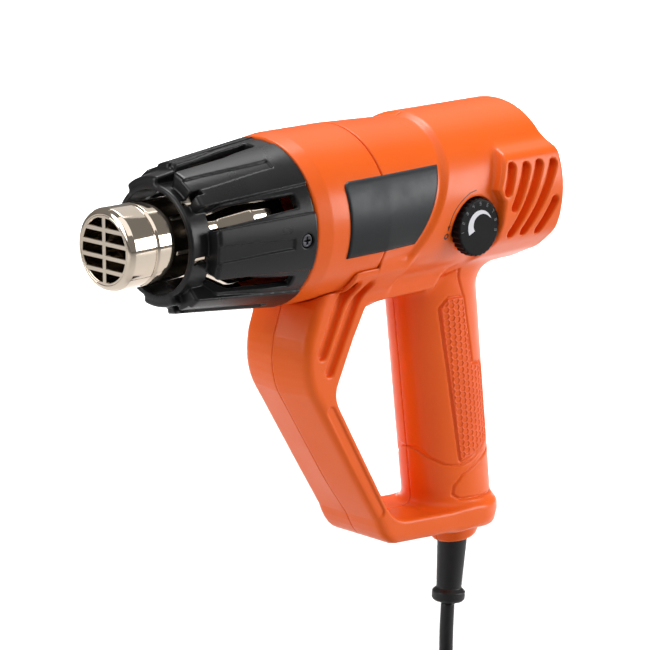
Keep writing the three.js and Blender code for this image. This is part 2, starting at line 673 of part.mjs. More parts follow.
// ---- cord entry, cord and plug ----
function strainRelief() {
  const profile = [[0, -40], [6.9, -40], [7.8, -38.6], [7.8, -35.4], [5.9, -33.5], [7.5, 3], [9.5, 3.4],
    [9.5, 6.2], [0, 6.2]];
  const points = profile.map(([radius, height]) => new THREE.Vector2(radius, height));
  return piece('strain_relief', new THREE.LatheGeometry(points, 20).rotateX(Math.PI / 2), rubber());
}

function cordEntry() {
  const holes = [-10, 10].map((x) => rodZ(1.8, 10, 20, x));
  const clamp = cut(block(-12, 12, -4.5, 4.5, 13, 16), ...holes);
  return framed(baseFrame, strainRelief(), piece('cord_clamp', clamp, white()));
}

// The stretch of cord inside the grip, from the clamp up to the switch.
function mainsLead() {
  const start = new THREE.Vector3(0, 0, 17).applyMatrix4(baseFrame);
  const end = new THREE.Vector3(6, 0, SWITCH.low + 1.5).applyMatrix4(gripFrame);
  const bends = [[0.3, 1.5], [0.7, -1.5]].map(([share, side]) => start.clone().lerp(end, share).setY(side));
  const points = [start, ...bends, end].map((point) => point.toArray());
  return piece('mains_lead', tube(points, CORD.diameter / 2, 5, 6), rubber());
}

function powerCord() {
  const { dropX, diameter, floorZ } = CORD;
  const restZ = floorZ + diameter / 2;
  const points = [[204, 0, -199], [203.5, 0, -206], [dropX + 0.1, 0, -216], [dropX, 0, -232],
    [dropX, 0, restZ + 26], [dropX, -2, restZ + 16], [dropX, -7.6, restZ + 7.6], [dropX, -16, restZ + 2],
    [dropX, -26, restZ], [dropX, -30, restZ]];
  return piece('power_cord', tube(points, diameter / 2, 5, 14), rubber());
}

const COIL = {
  x: CORD.dropX - CORD.outer,
  low: CORD.floorZ + 1.6,
  insideRadius: CORD.inner - CORD.diameter / 2,
  outsideRadius: CORD.outer + CORD.diameter / 2,
  height: CORD.levels * CORD.diameter,
};

function cordCoil() {
  const { x, low, insideRadius, outsideRadius, height } = COIL;
  const section = [[insideRadius + 1, 0], [outsideRadius - 1, 0], [outsideRadius, 1],
    [outsideRadius, height - 1], [outsideRadius - 1, height], [insideRadius + 1, height],
    [insideRadius, height - 1], [insideRadius, 1], [insideRadius + 1, 0]];
  const ring = new THREE.LatheGeometry(section.map(([radius, z]) => new THREE.Vector2(radius, z)), ROUND);
  return piece('cord_coil', ring.rotateX(Math.PI / 2).translate(x, CORD.coilY, low), rubber());
}

function cordTie() {
  const { x, low, insideRadius, outsideRadius, height } = COIL;
  const y0 = CORD.coilY - outsideRadius - GAP;
  const y1 = CORD.coilY - insideRadius + GAP + 0.5;
  const band = block(x - 5, x + 5, y0 - 1.2, y1 + 1.2, low - 1.5, low + height + 1.5);
  const hole = block(x - 6, x + 6, y0, y1, low - GAP, low + height + GAP);
  return piece('cord_tie', cut(band, hole), knobBlack());
}

function cordTail() {
  const { diameter, outer, coilY } = CORD;
  const { restZ } = PLUG;
  const startX = COIL.x - outer;
  const topZ = COIL.low + COIL.height - diameter / 2;
  const descent = [[25, topZ], [31, topZ - 0.6], [42, topZ - 3.8],
    [54, restZ + 2.8], [64, restZ + 0.5], [71, restZ]];
  const points = descent.map(([offset, z]) => [startX, coilY + offset, z]);
  return piece('cord_tail', tube(points, diameter / 2, 5, 10), rubber());
}

// The plug lies on its flat side beyond the end of the cord, with its pins towards +Y.
function plug() {
  const x = COIL.x - CORD.outer;
  const y = CORD.coilY + 71.4;
  const z = PLUG.restZ;
  const outline = [[-5, 0], [5, 0], [6.5, 14], [16, 26], [17, 40], [-17, 40], [-16, 26], [-6.5, 14]];
  const body = prismZ(outline, -PLUG.halfThickness, PLUG.halfThickness);
  const neck = rodY(5, -0.1, 10, 0, 0);
  const pins = [-PLUG.pinSpacing / 2, PLUG.pinSpacing / 2].map((offset, k) =>
    piece(`plug_pin_${k + 1}`, rodY(2.4, 40.4, 59, x + offset, z).translate(0, y, 0), brass()));
  return [piece('plug_body', join(body, neck).translate(x, y, z), rubber()), ...pins];
}

// ---- the whole gun ----
const barrelFrame = new THREE.Group();
barrelFrame.position.set(-GRIP.x, 0, -GRIP.z);
barrelFrame.add(
  ...housing(),
  ...HOUSING_SCREWS.map(([x, z], k) => housingScrew(k + 1, x, z)),
  frontCollar(),
  noseGuard(),
  guardScrew(1, -4),
  guardScrew(2, 176),
  nozzleTube(),
  nozzleGrille(),
  ...heater(),
  fanImpeller(),
  motorShaft(),
  motor(),
  motorMount(),
  airDuct(),
  ...controls(),
  intakeScreen('intake_screen_left', -1),
  intakeScreen('intake_screen_right', 1),
  slideSwitch(),
  gripPad('grip_pad_left', -1),
  gripPad('grip_pad_right', 1),
  labelPlate('label_plate_left', -1),
  labelPlate('label_plate_right', 1),
  cordEntry(),
  mainsLead(),
  powerCord(),
  cordCoil(),
  cordTie(),
  cordTail(),
  ...plug(),
);

const group = new THREE.Group();
group.add(barrelFrame);
export default group;
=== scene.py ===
from math import acos, cos, pi, radians, sin, sqrt, tan

import bpy
import numpy as np
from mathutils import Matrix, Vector


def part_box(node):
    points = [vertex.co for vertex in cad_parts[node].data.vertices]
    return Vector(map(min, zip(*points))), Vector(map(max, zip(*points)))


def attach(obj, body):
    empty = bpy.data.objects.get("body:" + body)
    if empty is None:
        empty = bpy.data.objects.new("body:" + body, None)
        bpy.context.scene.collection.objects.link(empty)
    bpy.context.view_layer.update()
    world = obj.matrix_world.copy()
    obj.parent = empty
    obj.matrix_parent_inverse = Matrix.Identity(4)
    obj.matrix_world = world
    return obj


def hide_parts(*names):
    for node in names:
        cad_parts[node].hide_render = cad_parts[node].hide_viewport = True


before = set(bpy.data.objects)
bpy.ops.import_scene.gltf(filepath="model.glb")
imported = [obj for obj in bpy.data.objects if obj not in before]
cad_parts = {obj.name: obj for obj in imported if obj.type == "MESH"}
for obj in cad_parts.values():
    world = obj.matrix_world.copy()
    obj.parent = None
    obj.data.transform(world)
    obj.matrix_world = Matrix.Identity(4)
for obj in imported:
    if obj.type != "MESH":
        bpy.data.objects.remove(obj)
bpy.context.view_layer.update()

MM = 0.001
NOZZLE_LOW, NOZZLE_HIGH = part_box("nozzle_tube")
LIP_X = -2.0
SHIFT = np.array([NOZZLE_LOW.x / MM - LIP_X, 0.0, (NOZZLE_LOW.z + NOZZLE_HIGH.z) / 2 / MM])

# ---- driving dimensions, millimetres in the barrel frame ----
BARREL_RADIUS = 37.5
BARREL_WALL = 3.0
COLLAR_FRONT, COLLAR_RIM, COLLAR_FRONT_RADIUS = 84.5, 92.6, 36.4
SEAM_X = 126.2
REAR_X = 233.0
STEP_CENTRE = (20.5, 67.0)
STEP_RADIUS = 150.0
STEP_WIDTH = 4.2
STEP_DROP = 1.6
GRIP_CENTRE = (196.0, -95.0)
GRIP_RAKE = radians(6.75)
GRIP_DEPTH, GRIP_HALF_WIDTH = 24.0, 17.6
FRAME_HALF_WIDTH = 20.5
KEEL = 2.6
BASE_SLOPE = radians(4.5)
BASE_ORIGIN = (207.2, -158.6)
BASE_REAR = 205.5
GLAND_RADIUS, GLAND_BORE, GLAND_LENGTH = 10.4, 8.0, 8.4
SEAM_DEPTH, SEAM_WIDTH = 0.9, 0.5
BOSS_RADIUS = 42.8
DIAL_CENTRE = (180.0, -10.8)
DIAL_RADIUS = 13.1
DIAL_FACE, DIAL_SEAT = -39.6, -34.2
NOZZLE_RADIUS = 17.5
GUARD_SCREW_ANGLES = (-4, 176)
GUARD_SCREW_X, GUARD_SCREW_OUT = 78.8, 34.9
GUARD_HOLE_RADIUS, GUARD_HOLE_FLOOR = 3.2, 34.6
GUARD_TURN = -5.0
GUARD_DROP = 0.5
GUARD_RING_X, GUARD_REAR = 24.5, 84.1
GUARD_RIB_STARTS = np.array([33.6, 29.0, 36.0, 33.6, 36.0, 29.0])
GUARD_FRONT_RADIUS, GUARD_REAR_RADIUS = 31.0, 36.9
GUARD_RING_RADIUS, GUARD_BORE, GUARD_REAR_BORE = 24.5, 22.0, 31.4
GUARD_WALL, GUARD_VALLEY = 4.4, 0.9
RIB_HALF_ANGLE = 20
CHANNEL_END, CHANNEL_DEPTH = 72.3, 0.95
GUARD_BLOCKS = ((106.5, 21.5), (-83.5, 21.5))
HOUSING_HOLE_RADIUS, HOUSING_HOLE_FLOOR, HOUSING_SCREW_Y = 3.5, 15.0, 16.4
HOUSING_SCREWS = ((101, -62), (149, -149.5), (184, -151.5), (187, -46.5), (224, -28), (224, 28))
CORD_DIAMETER = 6.5
CORD_FLOOR = -280.0
CORD_REST = CORD_FLOOR + CORD_DIAMETER / 2 + 0.05
COIL_CENTRE = (161.5, -55.0)
COIL_INNER, COIL_OUTER = 35.0, 41.5
COIL_LOW = CORD_FLOOR + 1.6
PLUG_REST = CORD_FLOOR + 8.1


def row(points):
    """Barrel-frame millimetres to the model's metres."""
    return (np.asarray(points, float) + SHIFT) * MM


def linked(name, data):
    """A new object in the scene."""
    made = bpy.data.objects.new(name, data)
    bpy.context.scene.collection.objects.link(made)
    return made


# ---- camera ----
CAMERA_PLACE = (-769.6, -922.5, 256.6)
CAMERA_AZIMUTH = radians(-44.077)
CAMERA_ELEVATION = radians(13.528)
CAMERA_LENS = 166.15


def make_camera():
    data = bpy.data.cameras.new("camera")
    data.lens = CAMERA_LENS
    data.sensor_width = 36.0
    data.clip_end = 50.0
    camera = linked("camera", data)
    camera.location = row(CAMERA_PLACE)
    camera.rotation_euler = (pi / 2 - CAMERA_ELEVATION, 0, CAMERA_AZIMUTH)
    bpy.context.scene.camera = camera


make_camera()


# ---- meshes from arrays ----
def mesh_object(name, points, faces, material, body="gun", slot=None, replaces=(), smooth=True):
    """A piece from barrel-frame points and faces (an array of equal faces, or a list)."""
    mesh = bpy.data.meshes.new(name)
    placed = row(points)
    if isinstance(faces, np.ndarray):
        sides = faces.shape[1]
        mesh.vertices.add(len(placed))
        mesh.vertices.foreach_set("co", placed.astype(np.float32).ravel())
        mesh.loops.add(faces.size)
        mesh.loops.foreach_set("vertex_index", faces.astype(np.int32).ravel())
        mesh.polygons.add(len(faces))
        mesh.polygons.foreach_set("loop_start", np.arange(0, faces.size, sides, dtype=np.int32))
        mesh.update(calc_edges=True)
    else:
        mesh.from_pydata([tuple(p) for p in placed], [], [tuple(f) for f in faces])
    mesh.validate()
    mesh.polygons.foreach_set("use_smooth", np.full(len(mesh.polygons), smooth))
    mesh.materials.append(material)
    piece = linked(name, mesh)
    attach(piece, body)
    if replaces:
        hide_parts(*replaces)
    return piece


def grid_faces(rows, columns, close_rows=False, close_columns=False):
    """Quads over a grid of points stored row by row."""
    last_row = rows if close_rows else rows - 1
    last_column = columns if close_columns else columns - 1
    r, c = np.meshgrid(np.arange(last_row), np.arange(last_column), indexing="ij")
    down, right = (r + 1) % rows, (c + 1) % columns
    quads = np.stack([r * columns + c, down * columns + c, down * columns + right, r * columns + right], -1)
    return quads.reshape(-1, 4)


def rounded_profile(corners, steps=5):
    """Corners (x, radius, rounding) become a profile with true round corners."""
    points = []
    count = len(corners)
    for k, (x, radius, rounding) in enumerate(corners):
        here = np.array([x, radius], float)
        if rounding == 0:
            points.append(here)
            continue
        before = np.array(corners[(k - 1) % count][:2], float) - here
        after = np.array(corners[(k + 1) % count][:2], float) - here
        a, b = before / np.linalg.norm(before), after / np.linalg.norm(after)
        half = acos(np.clip(a @ b, -1, 1)) / 2
        reach = min(rounding / tan(half), 0.49 * np.linalg.norm(before), 0.49 * np.linalg.norm(after))
        for t in np.linspace(0, 1, steps + 1):
            points.append(here + a * reach * (1 - t) ** 2 + b * reach * t ** 2)
    return np.array(points)


def revolve_x(profile, segments):
    """A closed profile of (x, radius) turned about the barrel's axis."""
    x, radius = np.repeat(profile, segments, axis=0).T
    turn = np.tile(np.arange(segments) * 2 * pi / segments, len(profile))
    points = np.stack([x, -radius * np.cos(turn), radius * np.sin(turn)], 1)
    return points, grid_faces(len(profile), segments, close_rows=True, close_columns=True)


def tube(path, radius, sides=16):
    """A round tube along a polyline, with closed ends."""
    path = np.asarray(path, float)
    tangents = np.gradient(path, axis=0)
    tangents /= np.linalg.norm(tangents, axis=1)[:, None]
    normal = np.cross(tangents[0], [0.0, 1.0, 0.0])
    if np.linalg.norm(normal) < 0.1:
        normal = np.cross(tangents[0], [0.0, 0.0, 1.0])
    rings = []
    angles = np.arange(sides) * 2 * pi / sides
    for point, tangent in zip(path, tangents):
        normal = normal - tangent * (normal @ tangent)
        normal /= np.linalg.norm(normal)
        side = np.cross(tangent, normal)
        rings.append(point + radius * (np.cos(angles)[:, None] * normal + np.sin(angles)[:, None] * side))
    points = np.concatenate(rings)
    count = len(points)
    faces = [tuple(f) for f in grid_faces(len(path), sides, close_columns=True)]
    points = np.vstack([points, path[0], path[-1]])
    for k in range(sides):
        faces.append((count, k, (k + 1) % sides))
        faces.append((count + 1, count - sides + (k + 1) % sides, count - sides + k))
    return points, faces


def smooth_route(points, spacing):
    """A Catmull-Rom curve through the points, resampled to even spacing."""
    points = np.asarray(points, float)
    padded = np.vstack([2 * points[0] - points[1], points, 2 * points[-1] - points[-2]])
    dense = []
    for k in range(len(points) - 1):
        p0, p1, p2, p3 = padded[k:k + 4]
        for t in np.linspace(0, 1, 24, endpoint=False):
            dense.append(0.5 * (2 * p1 + (p2 - p0) * t + (2 * p0 - 5 * p1 + 4 * p2 - p3) * t * t
                                + (3 * p1 - p0 - 3 * p2 + p3) * t ** 3))
    dense.append(points[-1])
    dense = np.array(dense)
    lengths = np.concatenate([[0], np.cumsum(np.linalg.norm(np.diff(dense, axis=0), axis=1))])
    even = np.linspace(0, lengths[-1], max(2, int(lengths[-1] / spacing)) + 1)
    return np.stack([np.interp(even, lengths, dense[:, k]) for k in range(3)], 1)


# ---- shapes as distance fields ----
def smax(a, b, blend):
    """The larger of two fields, with the edge between them rounded."""
    overlap = np.maximum(blend - np.abs(a - b), 0) / blend
    return np.maximum(a, b) + overlap * overlap * blend / 4


def smin(a, b, blend):
    return -smax(-a, -b, blend)


def ramp(value, low, high):
    t = np.clip((value - low) / (high - low), 0, 1)
    return t * t * (3 - 2 * t)


def polygon(u, v, corners):
    """Signed distance to a closed outline in the plane, negative inside."""
    u, v = np.broadcast_arrays(u, v)
    nearest = np.full(u.shape, 1e9, u.dtype)
    inside = np.zeros(u.shape, bool)
    for (ax, ay), (bx, by) in zip(corners, corners[1:] + corners[:1]):
        ex, ey = bx - ax, by - ay
        wu, wv = u - ax, v - ay
        t = np.clip((wu * ex + wv * ey) / (ex * ex + ey * ey), 0, 1)
        nearest = np.minimum(nearest, (wu - ex * t) ** 2 + (wv - ey * t) ** 2)
        if ay != by:
            inside ^= ((ay > v) != (by > v)) & (wu < ex * wv / ey)
    return np.where(inside, -1, 1) * np.sqrt(nearest)


def line(u, v, corners):
    """Distance to an open outline in the plane."""
    gaps = []
    for (ax, ay), (bx, by) in zip(corners[:-1], corners[1:]):
        ex, ey = bx - ax, by - ay
        t = np.clip(((u - ax) * ex + (v - ay) * ey) / (ex * ex + ey * ey), 0, 1)
        gaps.append((u - ax - ex * t) ** 2 + (v - ay - ey * t) ** 2)
    return np.sqrt(np.minimum.reduce(gaps))


def bend(start, corner, end, steps=6):
    """Points on the round corner from start to end, drawn towards a corner point."""
    t = np.linspace(0, 1, steps + 1)[:, None]
    start, corner, end = (np.array(p, float) for p in (start, corner, end))
    return [tuple(p) for p in (1 - t) ** 2 * start + 2 * t * (1 - t) * corner + t * t * end]


CORNERS = np.array([(i, j, k) for i in (0, 1) for j in (0, 1) for k in (0, 1)])
CELL_EDGES = [(a, b) for a in range(8) for b in range(a + 1, 8) if np.abs(CORNERS[a] - CORNERS[b]).sum() == 1]


def surface_of(field, low, high, step):
    """The zero surface of a field as quads: one point per crossed cell, then moved onto the surface."""
    axes = [np.arange(a, b + step, step, dtype=np.float32) for a, b in zip(low, high)]
    values = field(axes[0][:, None, None], axes[1][None, :, None], axes[2][None, None, :])
    values = np.ascontiguousarray(np.broadcast_to(values, [len(a) for a in axes]), np.float32)
    inside = values < 0
    shape = [n - 1 for n in inside.shape]
    filled = np.zeros(shape, np.int8)
    for i, j, k in CORNERS:
        filled += inside[i:i + shape[0], j:j + shape[1], k:k + shape[2]]
    cells = np.argwhere((filled > 0) & (filled < 8))
    number = np.full(shape, -1, np.int32)
    number[tuple(cells.T)] = np.arange(len(cells))
    corner_values = np.stack([values[tuple((cells + corner).T)] for corner in CORNERS], 1)
    total = np.zeros((len(cells), 3))
    crossings = np.zeros(len(cells))
    for a, b in CELL_EDGES:
        va, vb = corner_values[:, a], corner_values[:, b]
        crossed = (va < 0) != (vb < 0)
        share = np.where(crossed, va / np.where(crossed, va - vb, 1), 0)
        total += crossed[:, None] * (CORNERS[a] + share[:, None] * (CORNERS[b] - CORNERS[a]))
        crossings += crossed
    points = np.array(low) + step * (cells + total / crossings[:, None])
    quads = []
    for axis in range(3):
        u, v = (axis + 1) % 3, (axis + 2) % 3
        starts = np.argwhere(np.diff(inside, axis=axis))
        clear = (starts[:, u] > 0) & (starts[:, v] > 0)
        clear &= (starts[:, u] < inside.shape[u] - 1) & (starts[:, v] < inside.shape[v] - 1)
        starts = starts[clear]
        du, dv = np.eye(3, dtype=int)[u], np.eye(3, dtype=int)[v]
        around = [starts - du - dv, starts - dv, starts, starts - du]
        quad = np.stack([number[tuple(c.T)] for c in around], 1)
        outward = inside[tuple(starts.T)]
        quads.append(np.where(outward[:, None], quad, quad[:, ::-1]))
    return settle(field, points, step), np.concatenate(quads)


def settle(field, points, step, rounds=3, probe=0.02):
    """Moves points along the field's slope onto its zero surface, never far from where they start."""
    points = points.astype(float)
    for _ in range(rounds):
        value = field(*points.T)
        slope = np.stack([field(*(points + nudge).T) - field(*(points - nudge).T)
                          for nudge in probe * np.eye(3)], 1) / (2 * probe)
        move = slope * (value / np.maximum((slope ** 2).sum(1), 0.2))[:, None]
        size = np.linalg.norm(move, axis=1)[:, None]
        points -= move * np.minimum(1, 0.4 * step / np.maximum(size, 1e-9))
    return points


def field_piece(name, field, low, high, step, material, **piece):
    """A piece whose surface is where the field is zero."""
    return mesh_object(name, *surface_of(field, low, high, step), material, **piece)


# ---- material helpers ----
class Nodes:
    """A material's node tree, with short calls to add and link nodes."""

    def __init__(self, name):
        self.material = bpy.data.materials.new(name)
        self.material.use_nodes = True
        self.tree = self.material.node_tree
        self.shader = self.tree.nodes["Principled BSDF"]

    def add(self, kind, inputs=None, **settings):
        node = self.tree.nodes.new(kind)
        for key, value in settings.items():
            setattr(node, key, value)
        for key, value in (inputs or {}).items():
            self.put(node.inputs[key], value)
        return node

    def put(self, socket, value):
        if isinstance(value, bpy.types.NodeSocket):
            self.tree.links.new(value, socket)
        else:
            socket.default_value = value

    def set(self, **values):
        for key, value in values.items():
            self.put(self.shader.inputs[key.replace("_", " ")], value)

    def place(self):
        return self.add("ShaderNodeTexCoord").outputs["Object"]

    def noise(self, scale, detail=3.0, roughness=0.5):
        node = self.add("ShaderNodeTexNoise", {"Vector": self.place(), "Scale": scale, "Detail": detail,
                                               "Roughness": roughness})
        return node.outputs["Fac"]

    def mapped(self, value, from_low, from_high, to_low, to_high):
        inputs = {"Value": value, "From Min": from_low, "From Max": from_high,
                  "To Min": to_low, "To Max": to_high}
        return self.add("ShaderNodeMapRange", inputs).outputs["Result"]

    def mixed(self, factor, first, second):
        node = self.add("ShaderNodeMix", data_type="RGBA")
        self.put(node.inputs[0], factor)
        self.put(node.inputs[6], first)
        self.put(node.inputs[7], second)
        return node.outputs[2]

    def bump(self, height, strength, distance):
        inputs = {"Height": height, "Strength": strength, "Distance": distance}
        self.set(Normal=self.add("ShaderNodeBump", inputs).outputs["Normal"])


def moulded(name, color, shade, roughness, grain=2600.0, relief=0.08, coat=0.0, ior=1.46):
    """Moulded plastic: slight tone changes, a fine grain and uneven gloss."""
    nodes = Nodes(name)
    tone = nodes.mapped(nodes.noise(14.0, 4.0), 0.35, 0.65, 0.0, 1.0)
    gloss = nodes.mapped(nodes.noise(60.0, 3.0), 0.3, 0.7, roughness * 0.85, roughness * 1.15)
    nodes.set(Base_Color=nodes.mixed(tone, (*color, 1), (*shade, 1)), Roughness=gloss, IOR=ior)
    nodes.set(Coat_Weight=coat, Coat_Roughness=0.18)
    nodes.bump(nodes.noise(grain, 2.0), relief, 0.0002)
    return nodes.material


def polished(name, color, shade, roughness, stretch=(1.0, 1.0, 1.0), relief=0.03):
    """Metal with faint drawn or turned lines."""
    nodes = Nodes(name)
    mapping = nodes.add("ShaderNodeMapping", {"Vector": nodes.place(), "Scale": stretch})
    lines = nodes.add("ShaderNodeTexNoise", {"Vector": mapping.outputs["Vector"], "Scale": 260.0,
                                             "Detail": 4.0})
    streaks = nodes.mapped(lines.outputs["Fac"], 0.3, 0.7, roughness * 0.8, roughness * 1.4)
    tone = nodes.mapped(nodes.noise(30.0, 3.0), 0.35, 0.65, 0.0, 1.0)
    nodes.set(Base_Color=nodes.mixed(tone, (*color, 1), (*shade, 1)), Metallic=1.0, Roughness=streaks)
    nodes.bump(lines.outputs["Fac"], relief, 0.0002)
    return nodes.material


ORANGE = moulded("orange_shell", (0.88, 0.130, 0.010), (0.85, 0.118, 0.008), 0.34, coat=0.06, ior=1.33)
ORANGE_SOFT = moulded("orange_overlay", (0.90, 0.125, 0.012), (0.86, 0.112, 0.010), 0.45,
                       grain=3200.0, relief=0.15)
BLACK = moulded("charcoal_guard", (0.006, 0.006, 0.007), (0.010, 0.010, 0.011), 0.30, relief=0.12, ior=1.38)
KNOB = moulded("black_knob", (0.005, 0.005, 0.006), (0.009, 0.009, 0.010), 0.40, relief=0.10, ior=1.20)
RUBBER = moulded("black_rubber", (0.006, 0.006, 0.007), (0.010, 0.010, 0.011), 0.45,
                  grain=1800.0, relief=0.2, ior=1.4)
WHITE_INK = moulded("white_ink", (0.72, 0.72, 0.76), (0.66, 0.66, 0.70), 0.40)
GREY_INK = moulded("grey_ink", (0.13, 0.13, 0.14), (0.09, 0.09, 0.10), 0.40)
DARK_INK = moulded("dark_ink", (0.05, 0.014, 0.008), (0.07, 0.018, 0.010), 0.40)
OFF_WHITE = moulded("off_white_moulding", (0.70, 0.68, 0.62), (0.64, 0.62, 0.56), 0.50)
MICA = moulded("mica_sheet", (0.42, 0.33, 0.20), (0.52, 0.44, 0.30), 0.45, grain=600.0, relief=0.3)
CERAMIC = moulded("ceramic_core", (0.62, 0.57, 0.48), (0.55, 0.50, 0.42), 0.80, grain=900.0, relief=0.3)
BOARD = moulded("green_board", (0.03, 0.14, 0.06), (0.04, 0.18, 0.08), 0.40)
CHROME = polished("chrome_tube", (0.80, 0.70, 0.59), (0.74, 0.63, 0.51), 0.06,
                  stretch=(8.0, 1.0, 1.0), relief=0.02)
STEEL = polished("zinc_steel", (0.42, 0.42, 0.43), (0.34, 0.34, 0.35), 0.32)
DARK_STEEL = polished("blackened_steel", (0.10, 0.10, 0.11), (0.07, 0.07, 0.08), 0.35)
BRASS = polished("brass_pins", (0.72, 0.55, 0.26), (0.62, 0.46, 0.20), 0.22)


# ---- cord, coil, plug and tie ----
CORD_DROP = [(204.06, 0, -198.5), (203.5, 0, -206), (203.1, 0, -216), (203, 0, -232),
             (203, 0, CORD_REST + 26), (203, -2, CORD_REST + 16), (203, -7.6, CORD_REST + 7.6),
             (203, -16, CORD_REST + 2), (203, -26, CORD_REST), (203, -34, CORD_REST)]
COIL_TURNS = [(COIL_OUTER, 0), (COIL_INNER, 0), (COIL_INNER, 1), (COIL_OUTER, 1), (COIL_OUTER, 2),
              (COIL_INNER, 2), (COIL_INNER, 3), (COIL_OUTER, 3)]
COIL_END_TURN = 7.5
COIL_STEPS = 36
COIL_SHIFT_START = 0.84
CORD_TAIL = [(120, -40, 0.0), (120, -30, 0.0), (120, -24, -0.6), (120, -13, -3.8)]
CORD_TAIL_END = [(120, -1, 2.8), (120, 9, 0.5), (120, 16.2, 0.0)]


def coil_route():
    """The turns beside and on each other, each moving to the next place over its last part."""
    turns = np.arange(int(COIL_END_TURN * COIL_STEPS) + 1) / COIL_STEPS
    here = turns.astype(int)
    places = np.array(COIL_TURNS)
    share = ramp(turns - here, COIL_SHIFT_START, 1.0)[:, None]
    onward = places[np.minimum(here + 1, len(places) - 1)] - places[here]
    radius, level = (places[here] + onward * share).T
    angle = -2 * pi * turns
    return np.stack([COIL_CENTRE[0] + radius * np.cos(angle), COIL_CENTRE[1] + radius * np.sin(angle),
                     COIL_LOW + CORD_DIAMETER * (level + 0.5)], 1)


def make_cord():
    top = COIL_LOW + 3.5 * CORD_DIAMETER
    tail = [(x, y, top + z) for x, y, z in CORD_TAIL] + [(x, y, PLUG_REST + z) for x, y, z in CORD_TAIL_END]
    route = smooth_route([*CORD_DROP, *coil_route(), *tail], 3.0)
    points, faces = tube(route, CORD_DIAMETER / 2)
    cord = mesh_object("mains_cord", points, faces, RUBBER, slot="cord_rubber",
                       replaces=("power_cord", "cord_coil", "cord_tail"))
    length = np.linalg.norm(np.diff(route, axis=0), axis=1).sum() * MM
    return cord, route, length


PLUG_X, PLUG_BACK = 120.0, 16.4
PIN_Y, PIN_OFFSET = 56.8, 9.5
PIN_PROFILE = [(0, 0.001, 0), (0, 2.35, 0), (18.6, 2.35, 1.6), (18.6, 0.001, 0)]
PLUG_OUTLINE = [(-5, 0), (5, 0), (6.5, 14), (16, 26), (17, 40), (-17, 40), (-16, 26), (-6.5, 14)]


def make_plug():
    """Flat mains plug: a waisted body with finger grooves and a ribbed neck."""
    def field(x, y, z):
        u, v, w = x - PLUG_X, y - PLUG_BACK, z - PLUG_REST
        outline = polygon(u, v, PLUG_OUTLINE)
        body = smax(outline, np.abs(w) - 8 + 1.2 * ramp(-v, -30, -14), 4.0)
        rings = 0.5 * np.cos(v * 2 * pi / 3.4) * (v < 15)
        neck = smax(np.sqrt(u * u + w * w) - 5.6 - rings, smax(-v, v - 16, 0.5), 1.0)
        ridges = 0.45 * np.cos(v * 2 * pi / 3.0) * ramp(v, 25, 27) * (1 - ramp(v, 36, 38))
        return smin(body + ridges, neck, 2.0)
    return field_piece("mains_plug", field, (101, 15, PLUG_REST - 9), (139, 58, PLUG_REST + 9), 0.6,
                       RUBBER, slot="cord_rubber", replaces=("plug_body",))


def make_pins():
    pins = []
    points, faces = revolve_x(rounded_profile(PIN_PROFILE), 32)
    x, y, z = points.T
    for k, side in enumerate((-PIN_OFFSET, PIN_OFFSET)):
        placed = np.stack([PLUG_X + side + y, PIN_Y + x, PLUG_REST + z], 1)
        pins.append(mesh_object(f"mains_pin_{k + 1}", placed, faces, BRASS, slot="brass",
                                replaces=(f"plug_pin_{k + 1}",)))
    return pins


TIE_Y = COIL_CENTRE[1] - (COIL_INNER + COIL_OUTER) / 2


def make_tie():
    """A rubber strap round the coil's section, with rippled edges."""
    def field(x, y, z):
        u, v, w = x - COIL_CENTRE[0], y - TIE_Y, z - COIL_LOW - 2 * CORD_DIAMETER
        outer = smax(np.abs(v) - 8.0, np.abs(w) - 14.35, 3.0)
        inner = smax(np.abs(v) - 6.9, np.abs(w) - 13.25, 2.0)
        return smax(smax(outer, -inner, 0.4), np.abs(u) - 4.9 + 0.5 * np.cos(w * 2.2), 0.8)
    return field_piece("cord_strap", field, (155, -103, -281), (168, -83, -249), 0.5, KNOB,
                       slot="black_plastic", replaces=("cord_tie",))


cord, route, cord_length = make_cord()
cord_pieces = [make_plug(), *make_pins(), make_tie()]


# ---- orange body ----
SIDES = (("left", -1), ("right", 1))
LEG_FRONT = [(106, -28), (99.5, -38.5), *bend((94.6, -52), (91.6, -66), (97, -76.5)),
             *bend((137.3, -141.4), (142, -154.2), (150, -155.0)), (229, -161.2), (240, -28)]
HAND_GAP = [*bend((127.6, -45), (129.5, -40.4), (134, -40.4), 4), (172, -40.4), (182, -28),
            (186, -10), (260, -10), (260, -152.8), (227, -150.2),
            *bend((157, -144.7), (149, -144.2), (143, -135.6)),
            *bend((114.2, -85.7), (110, -79), (113.2, -73)), (122, -54.9)]
BOSS_FRONT = [(199, 24), (196.2, 17.5), (190, 4.5), (193.6, -1), (193.2, -6.5), (193, -18.4), (193, -28),
              (245, -28), (245, 24)]
VENTS = [((200, 13.5), (195.7, 3.5)), ((209.2, 12.7), (200.3, -4)), ((217.8, 12.8), (201, -16.3)),
         ((226.9, 12.1), (209.5, -16.3)), ((226.8, -4.4), (219.5, -17))]
VENT_HALF_WIDTH, VENT_DEPTH = 2.3, 4.4
OPENING_HALF_WIDTH, OPENING_SHIFT, OPENING_DEPTH = 1.0, 0.9, 27
LEG_GROOVES = [((116.5, -30), (102.6, -58.6)), ((125.5, -31), (107, -66.8))]
GROOVE_HALF_WIDTH, GROOVE_DEPTH = 2.5, 2.4
STRIP_ENDS = ((108.1, -85.2), (138.7, -137.4))
STRIP_HALF_WIDTH, STRIP_DEPTH = 2.2, 0.8
OVERLAY_SEAM = [(175.5, -37.2), (189.5, -34.2), (190.6, -40), (193.7, -47.8)]
LOWER_SEAM = [(176, -117.5), (180, -122.5), (186, -126.2), (193, -127.3), (200, -126),
              (207, -122.5), (214, -117), (219, -112.5)]
